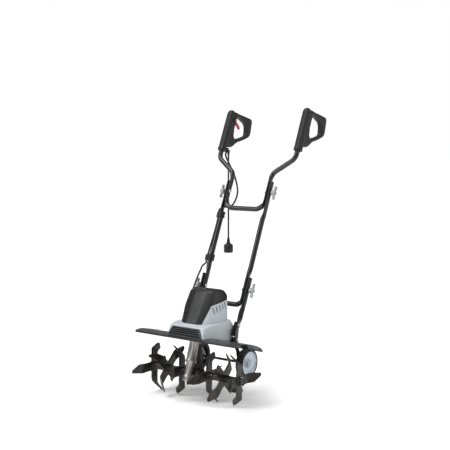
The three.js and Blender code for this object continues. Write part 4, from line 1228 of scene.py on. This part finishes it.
def wing_knob(plane, start, reach=29.5, steps=20):
    """A two-winged hand nut: fluted hub, two thick tapering wings."""
    profile = [(4.0, 0), (10.4, 0), (11, 0.6), (11, 6), (10.3, 13), (9.0, 15.6), (6.4, 16),
               (5.4, 14.8), (4.0, 14.8), (4.0, 0)]
    hub = lathe([(r, start + x) for r, x in profile], plane.at(0, 0), X, 48,
                lambda angle, r, x: r + (0.35 * cos(12 * angle) if r > 7.5 else 0))
    rings = []
    for k in range(steps + 1):
        up = -reach + 2 * reach * k / steps
        a = abs(up) / reach
        centre = start + 11.2 + 0.7 * a
        if k in (0, steps):
            rings.append([plane.at(centre, up)])
            continue
        width = (5.6 + 2.6 * ease(0.2, 0.85, a)) * sqrt(
            max(0.0, 1 - max(0.0, (a - 0.84) / 0.165) ** 2))
        thick = (4.5 - 0.7 * a) * sqrt(max(0.0, 1 - max(0.0, (a - 0.88) / 0.125) ** 2))
        angles = [tau * j / 20 for j in range(20)]
        rings.append([plane.at(centre + thick * signed_power(sin(t), 0.7), up,
                               width * signed_power(cos(t), 0.7)) for t in angles])
    return merge(hub, skin(rings))


# (level, plane, x of the bolt's head, of its tip and of the knob, body of the bolt)
CLAMPS = (("lower", MID, 90, 131, 123, "head"), ("upper", TOP, 88, 125, 117, "frame"))
for level, plane, head_x, tip_x, knob_x, body in CLAMPS:
    for side, side_name in SIDES:
        place(sided(clamp(plane, head_x, tip_x), side), f"clamp_{level}_{side_name}", "steel",
              body, f"{level}_clamp_bolt_{side_name}")
        place(sided(wing_knob(plane, knob_x), side), f"knob_{level}_{side_name}", "knob",
              f"knob_{level}_{side_name[0]}", f"{level}_knob_{side_name}", angle=40)

# ------------------------------------------------------------------ D grips
# (back, up) outlines of the loop and of its hole
LOOP_OUTER = [(2, 218), (-2, 250), (-2, 335), (-2, 356), (4, 367), (14, 371.5), (43, 375),
              (80, 384), (108, 390), (130, 395), (140, 393.5), (147, 386), (152, 360),
              (156, 334), (154.5, 322), (146, 311), (120, 288), (95, 269), (76, 256),
              (66, 243), (57, 229), (44, 218), (30, 212), (14, 211)]
LOOP_HOLE = [(37, 361), (52, 362), (98, 358), (110, 356), (118, 347), (129, 318), (126, 309),
             (97, 287), (64, 266), (52, 263), (42, 275), (37, 300)]
LOOP_CENTRE, LOOP_STEPS = Vector((78, 314)), 128
# (up, scale of the section) along the sleeve, closed by a dome
SLEEVE = [(184, 0.90), (185, 0.965), (186.5, 1.0), (197, 1.0), (198.2, 0.955), (200, 0.94)]
SLEEVE += [(200 + 6 * k, 0.94 + 0.02 * ease(0, 18, k)) for k in range(1, 25)]
SLEEVE += [(346, 0.97), (352, 0.955), (357, 0.925), (362, 0.86), (366, 0.75), (369, 0.59),
           (370.6, 0.40), (371.2, 0.2)]
SLEEVE_BACK = 1.4
GRIP_SCREWS = ((30, 228), (142, 326), (132, 383), (60, 367))     # (back, up)


def ray_hit(outline, centre, angle):
    """Farthest point where a ray from the centre meets the outline."""
    ray = Vector((cos(angle), sin(angle)))
    best = 0.0
    for i in range(len(outline)):
        start = Vector(outline[i - 1]) - centre
        edge = Vector(outline[i]) - centre - start
        cross = ray.x * edge.y - ray.y * edge.x
        if abs(cross) < 1e-9:
            continue
        far = (start.x * edge.y - start.y * edge.x) / cross
        part = (start.x * ray.y - start.y * ray.x) / cross
        if far > 0 and -1e-6 <= part <= 1 + 1e-6:
            best = max(best, far)
    return centre + ray * best


def loop_ring(outline, corner):
    """An outline sampled at even angles and smoothed twice."""
    outline = round_outline(outline, corner)
    count = LOOP_STEPS
    ring = [ray_hit(outline, LOOP_CENTRE, tau * k / count) for k in range(count)]
    for _ in range(2):
        ring = [(ring[k - 1] + ring[k] * 2 + ring[(k + 1) % count]) / 4 for k in range(count)]
    return ring


def section(half_out, half_x, power, count=28, seam=0.75):
    """Rounded-rectangle section, as (x, out) pairs, with a fine groove at its middle plane."""
    points = []
    for k in range(count):
        t = tau * (k + 0.5) / count
        points.append((half_x * signed_power(cos(t), 2 / power),
                       half_out * signed_power(sin(t), 2 / power)))
    out = []
    for k in range(count):
        p, q = points[k], points[(k + 1) % count]
        out.append(p)
        if p[0] * q[0] < 0:
            x = copysign(0.55, p[0])
            top = copysign(half_out, p[1])
            out += [(x, top), (0.0, top - copysign(seam, top)), (-x, top)]
    return out


def grip(side):
    """The D-shaped loop and the sleeve over the handle tube."""
    grip_x = GRIP_X * side
    rings = []
    for outer, inner in zip(loop_ring(LOOP_OUTER, 10), loop_ring(LOOP_HOLE, 8)):
        middle, way = (outer + inner) / 2, outer - inner
        half = way.length / 2
        way.normalize()
        ring = []
        for x, out in section(half, 11.5, 4.6 if half < 22 else 7):
            point = middle + way * out
            ring.append(TOP.at(grip_x + x, point.y, point.x))
        rings.append(ring)
    loop = skin(rings, closed=True)
    rings = [[TOP.at(grip_x + x, 184, SLEEVE_BACK + out)
              for x, out in section(10.4, 10.4, 2.0, 36, 0.0)]]
    for up, k in SLEEVE:
        ring = []
        for x, out in section(15.6 * k, 16.8 * k, 2.9, 36, 0.7 if 200 < up < 358 else 0.0):
            # finger ribs along the side faces
            if 214 < up < 336 and abs(x) > 13:
                x += copysign(0.5 * max(0.0, sin((up - 214) / 6 * pi)) ** 2, x)
            ring.append(TOP.at(grip_x + x, up, SLEEVE_BACK + out))
        rings.append(ring)
    rings.append([TOP.at(grip_x, 371.4, SLEEVE_BACK)])
    return merge(loop, skin(rings, caps=False))


for side, side_name in SIDES:
    place(grip(side), f"dgrip_{side_name}", "grip", "handle", f"grip_{side_name}", angle=36)
    screws = [lathe([(0, 0), (3.0, 0), (3.0, 0.4), (2.5, 0.7), (1.4, 0.7), (1.2, 0.2), (0, 0.2)],
                    TOP.at(GRIP_X * side + face * 11.3, up, back), X * face, 24)
              for back, up in GRIP_SCREWS for face in (1, -1)]
    place(merge(*screws), f"dgrip_screws_{side_name}", "dark_cast", "handle")

# switch, button and lever on the left grip
LEFT_X = -GRIP_X
button_centre = TOP.at(LEFT_X, 333, 17)
switch = prism([(13, 263), (13, 300), (30, 300), (30, 263)], LEFT_X - 8.4, LEFT_X + 8.8, TOP,
               edge=1.6, segs=3, corner=3, steps=4)
nub = prism([(28, 264), (43, 266), (46, 271), (44, 279), (36, 286), (28, 288)],
            LEFT_X - 7.4, LEFT_X + 7.4, TOP, edge=1.8, segs=3, corner=4)
place(merge(switch, nub), "switch_case", "plastic", "handle", "switch_body")
place(lathe([(6.9, 10.6), (9.4, 10.6), (9.4, 17.6), (8.9, 18.3), (7.4, 18.3), (6.9, 17.8),
             (6.9, 10.6)], button_centre, X, 40), "button_collar", "grip", "handle")
place(lathe([(0, 9.8), (6, 9.8), (6.1, 10.4), (6.1, 19.6), (5.7, 20.9), (4.6, 21.7), (2.6, 22),
             (0, 22)], button_centre, X, 40), "button_red", "red", "button", "lock_button")
place(prism([(20, 323), (20, 341), (36, 341), (56, 336), (72, 329), (80, 322), (79, 317.6),
             (73.5, 317.6), (62, 323), (44, 327), (30, 325)], LEFT_X - 4.6, LEFT_X + 4.6, TOP,
            edge=1.6, segs=4, corner=5, steps=6), "lever_red", "red", "lever", "switch_lever")

# ------------------------------------------------------------------ cables, clips and plug
CABLE_R, CABLE_OUT, CABLE_BACK = 3.7, 16.6, 4.2
CLIP_HIGH, CLIP_LOW, CLIP_HALF = 302, 118, 12
PLUG_Z = 500.6
plug_top = TOP.at(LEFT_X, 208, 44)
PLUG = [(0, 19), (15.0, 19), (15.4, 18), (15.6, 0.6), (16.2, 0), (17.6, 0), (18.8, 0.6),
        (19.6, 2.4), (20, 5), (20, 29), (19.4, 32), (17.4, 35), (13.4, 37.4), (10.4, 38.6),
        (10, 40), (0, 40)]


def side_gap(up):
    """The motor cable stands further off the tube at the lower clip than at the upper one."""
    return CABLE_OUT + 5.6 * (1 - ease(118, 250, up))


def beside(up):
    return MID.at(-mid_x(up) - side_gap(up), up, CABLE_BACK)


def relief(start, way, count, radius, step):
    """A ribbed strain relief that tapers away along a direction."""
    bore = CABLE_R - 0.2
    profile = [(bore, 0), (radius + 1.2, 0), (radius + 1.2, 2.4)]
    far = 2.4
    for k in range(count):
        r = radius - k * (radius - CABLE_R - 0.6) / count
        profile += [(r - 1.1, far + 0.5), (r - 1.1, far + step * 0.45), (r, far + step * 0.55),
                    (r - 0.15, far + step)]
        far += step
    profile += [(CABLE_R + 0.3, far + 0.4), (bore, far + 0.4), (bore, 0)]
    return lathe(profile, start, way, 32)


def clip(up):
    """A ring around the tube and a smaller one around the cable."""
    ring = mirrored([(TUBE_R + 0.25, -CLIP_HALF), (TUBE_R + 4.2, -CLIP_HALF),
                     (TUBE_R + 5.4, -10.8), (TUBE_R + 5.4, -4), (TUBE_R + 4.4, -3.2)],
                    closed=True)
    lobe = mirrored([(CABLE_R + 0.2, -CLIP_HALF), (CABLE_R + 3.6, -CLIP_HALF),
                     (CABLE_R + 4.6, -11)], closed=True)
    return merge(lathe(ring, MID.at(-mid_x(up), up), MID.up, 48),
                 lathe(lobe, beside(up), MID.up, 32))


def cable(points):
    return tube(points, CABLE_R, seg=20)


line = [vec(LEFT_X, plug_top.y, z)
        for z in (plug_top.z - 4, plug_top.z - 40, 860, 800, 740, 680, 620, 568)]
place(cable(densify(line, 12)), "cable_plug", "cable", "plug", "plug_cable")
plug = lathe(PLUG, vec(LEFT_X, plug_top.y, PLUG_Z), vec(0, 0, 1), 64, lambda angle, r, height:
             r - (0.9 * max(0.0, sin(10 * angle)) ** 3 if r > 18.9 and 3 < height < 31 else 0))
place(merge(plug, relief(vec(LEFT_X, plug_top.y, 539.0), vec(0, 0, 1), 7, 8.6, 3.6)),
      "plug_body", "plastic", "plug", "power_plug", angle=36)
place(merge(*[lathe([(0, 2.5), (1.6, 2.5), (2.4, 3.6), (2.4, 19.4), (0, 19.4)],
                    vec(LEFT_X + x, plug_top.y, PLUG_Z), vec(0, 0, 1), 24)
              for x in (-9.5, 9.5)]), "plug_pins", "steel", "plug")
place(clip(CLIP_HIGH), "clip_upper", "plastic", "frame", "cable_clip_upper", angle=36)
place(clip(CLIP_LOW), "clip_lower", "plastic", "frame", "cable_clip_lower", angle=36)
place(cable(densify([beside(up) for up in (CLIP_LOW - 13, CLIP_LOW, 160, 210, 260, CLIP_HIGH,
                                           CLIP_HIGH + 13)], 10)),
      "cable_mid", "cable", "frame", "motor_cable_mid")
# from the left grip, across below the upper handle's bend, to the upper clip: (x, up, back)
UPPER_CABLE = [(LEFT_X + 5, 200, 28), (LEFT_X + 5, 180, 27), (-171, 160, 26),
               (-148.6, 136, 22), (-122, 104, 20), (-97, 72, 19), (-72, 28, 18), (-63, 1, 18),
               (-64, -30, 18), (-75, -54, 19)]
line = [TOP.at(*p) for p in UPPER_CABLE]
line += [MID.at(-96, 345, 20), MID.at(-113, 338, 15), beside(CLIP_HIGH + 24),
         beside(CLIP_HIGH + 12)]
place(cable(spline(line, 9)), "cable_upper", "cable",
      ("frame", "handle", tuple(PLACE @ TOP.at(0, -58, 18)), tuple(PLACE @ TOP.at(0, 66, 18))),
      "motor_cable_upper")
# from the lower clip down to the grommet: (x, y, z)
LOWER_CABLE = [(-126.5, 212, 477), (-123.5, 194, 461), (-119.5, 175, 445), (-115.5, 157, 428),
               (-112.6, 142, 411), (-111, 129, 393), (-108, 116, 372), (-101, 104, 355),
               (-90, 97, 346), (-76, 93.5, 341)]
line = [beside(CLIP_LOW - 12), beside(CLIP_LOW - 24)] + [vec(*p) for p in LOWER_CABLE]
place(cable(spline(line, 9)), "cable_lower", "cable",
      ("head", "frame", tuple(PLACE @ vec(-111, 138, 410)),
       tuple(PLACE @ beside(CLIP_LOW - 22))), "motor_cable_lower")
place(relief(TOP.at(LEFT_X + 5, 206, 28.4), -(TOP.up + vec(-0.10, 0, 0)).normalized(), 5, 6.4,
             3.0), "relief_motor_cable", "cable", "handle")
place(relief(vec(LEFT_X, plug_top.y, plug_top.z - 2), vec(0, 0, -1), 6, 6.8, 3.2),
      "relief_plug_cable", "cable", "plug")

# ------------------------------------------------------------------ CAD parts kept in the head
KEEP = {"motor_stator": "steel", "rotor_core": "copper", "cooling_fan": "plastic",
        "worm_shaft": "steel", "lower_motor_bearing": "steel", "upper_motor_bearing": "steel",
        "axle_bearing_right": "steel", "axle_bearing_left": "steel", "worm_wheel": "bronze"}
for node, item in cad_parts.items():
    if node in KEEP:
        item.data.materials.clear()
        item.data.materials.append(MAT[KEEP[node]])
        for polygon in item.data.polygons:
            polygon.material_index = 0


# ------------------------------------------------------------------ floor, light and camera
def add(name, data):
    item = bpy.data.objects.new(name, data)
    scene.collection.objects.link(item)
    return item


def build_floor():
    mesh = bmesh.new()
    bmesh.ops.create_grid(mesh, x_segments=2, y_segments=2, size=60)
    data = bpy.data.meshes.new("floor")
    mesh.to_mesh(data)
    mesh.free()
    floor = add("floor", data)
    floor.location = (0, 0, cad_low.z - 0.0006)
    pale = bpy.data.materials.new("floor_pale")
    pale.use_nodes = True
    inputs = pale.node_tree.nodes["Principled BSDF"].inputs
    inputs["Base Color"].default_value = (0.92, 0.92, 0.92, 1)
    inputs["Roughness"].default_value = 0.7
    inputs["Specular IOR Level"].default_value = 0.1
    data.materials.append(pale)


def build_world(ambient=0.84, camera_extra=0.16):
    """White surroundings, full strength to the camera and brighter overhead in reflections."""
    world = bpy.data.worlds.new("studio")
    scene.world = world
    world.use_nodes = True
    tree = world.node_tree
    background = tree.nodes["Background"]
    background.inputs[0].default_value = (1.0, 1.0, 1.0, 1)
    rays = tree.nodes.new("ShaderNodeLightPath").outputs
    sky = tree.nodes.new("ShaderNodeSeparateXYZ")
    tree.links.new(tree.nodes.new("ShaderNodeTexCoord").outputs["Generated"], sky.inputs[0])
    height = ramp(tree, sky.outputs[2], (0.0, 0.35, 0.9), (0.20, 0.30, 0.75))
    glossy = maths(tree, "MULTIPLY", maths(tree, "SUBTRACT", height, ambient),
                   rays["Is Glossy Ray"])
    level = maths(tree, "ADD", maths(tree, "ADD", ambient, glossy),
                  maths(tree, "MULTIPLY", camera_extra, rays["Is Camera Ray"]))
    tree.links.new(level, background.inputs[1])


def aim(item, way):
    item.rotation_mode = "QUATERNION"
    item.rotation_quaternion = way.to_track_quat("-Z", "Y")


def area(name, location, target, size, size_y, power):
    light = bpy.data.lights.new(name, "AREA")
    light.energy = power
    light.shape = "RECTANGLE"
    light.size = size
    light.size_y = size_y
    item = add(name, light)
    item.location = location
    aim(item, Vector(target) - Vector(location))


def build_camera(heading=0.6247504, pitch=0.0902296, lens=69.09672):
    """heading turns the view from +y towards -x and pitch tips it down, both in radians."""
    forward = vec(-sin(heading) * cos(pitch), cos(heading) * cos(pitch), -sin(pitch))
    right = vec(cos(heading), sin(heading), 0)
    data = bpy.data.cameras.new("camera")
    data.sensor_width = 36
    data.lens = lens
    data.clip_start, data.clip_end = 0.05, 400
    camera = add("camera", data)
    matrix = Matrix((right, right.cross(forward), -forward)).transposed().to_4x4()
    matrix.translation = PLACE @ vec(1972.8, -2543.4, 955.7)
    camera.matrix_world = matrix
    scene.camera = camera


build_floor()
build_world()
area("key", location=(-1.4, -2.2, 2.6), target=(0, 0, 0.4), size=1.4, size_y=1.4, power=34)
area("rim", location=(2.6, 0.6, 1.8), target=(0, 0, 0.5), size=0.9, size_y=2.0, power=16)
area("front", location=(0.5, -3.0, 0.9), target=(0, 0, 0.3), size=0.5, size_y=1.6, power=9)
sun = bpy.data.lights.new("sun", "SUN")
sun.energy = 1.35
sun.angle = radians(34)
aim(add("sun", sun), vec(0.26, 0.30, -0.92))
build_camera()
scene.view_settings.view_transform = "Standard"
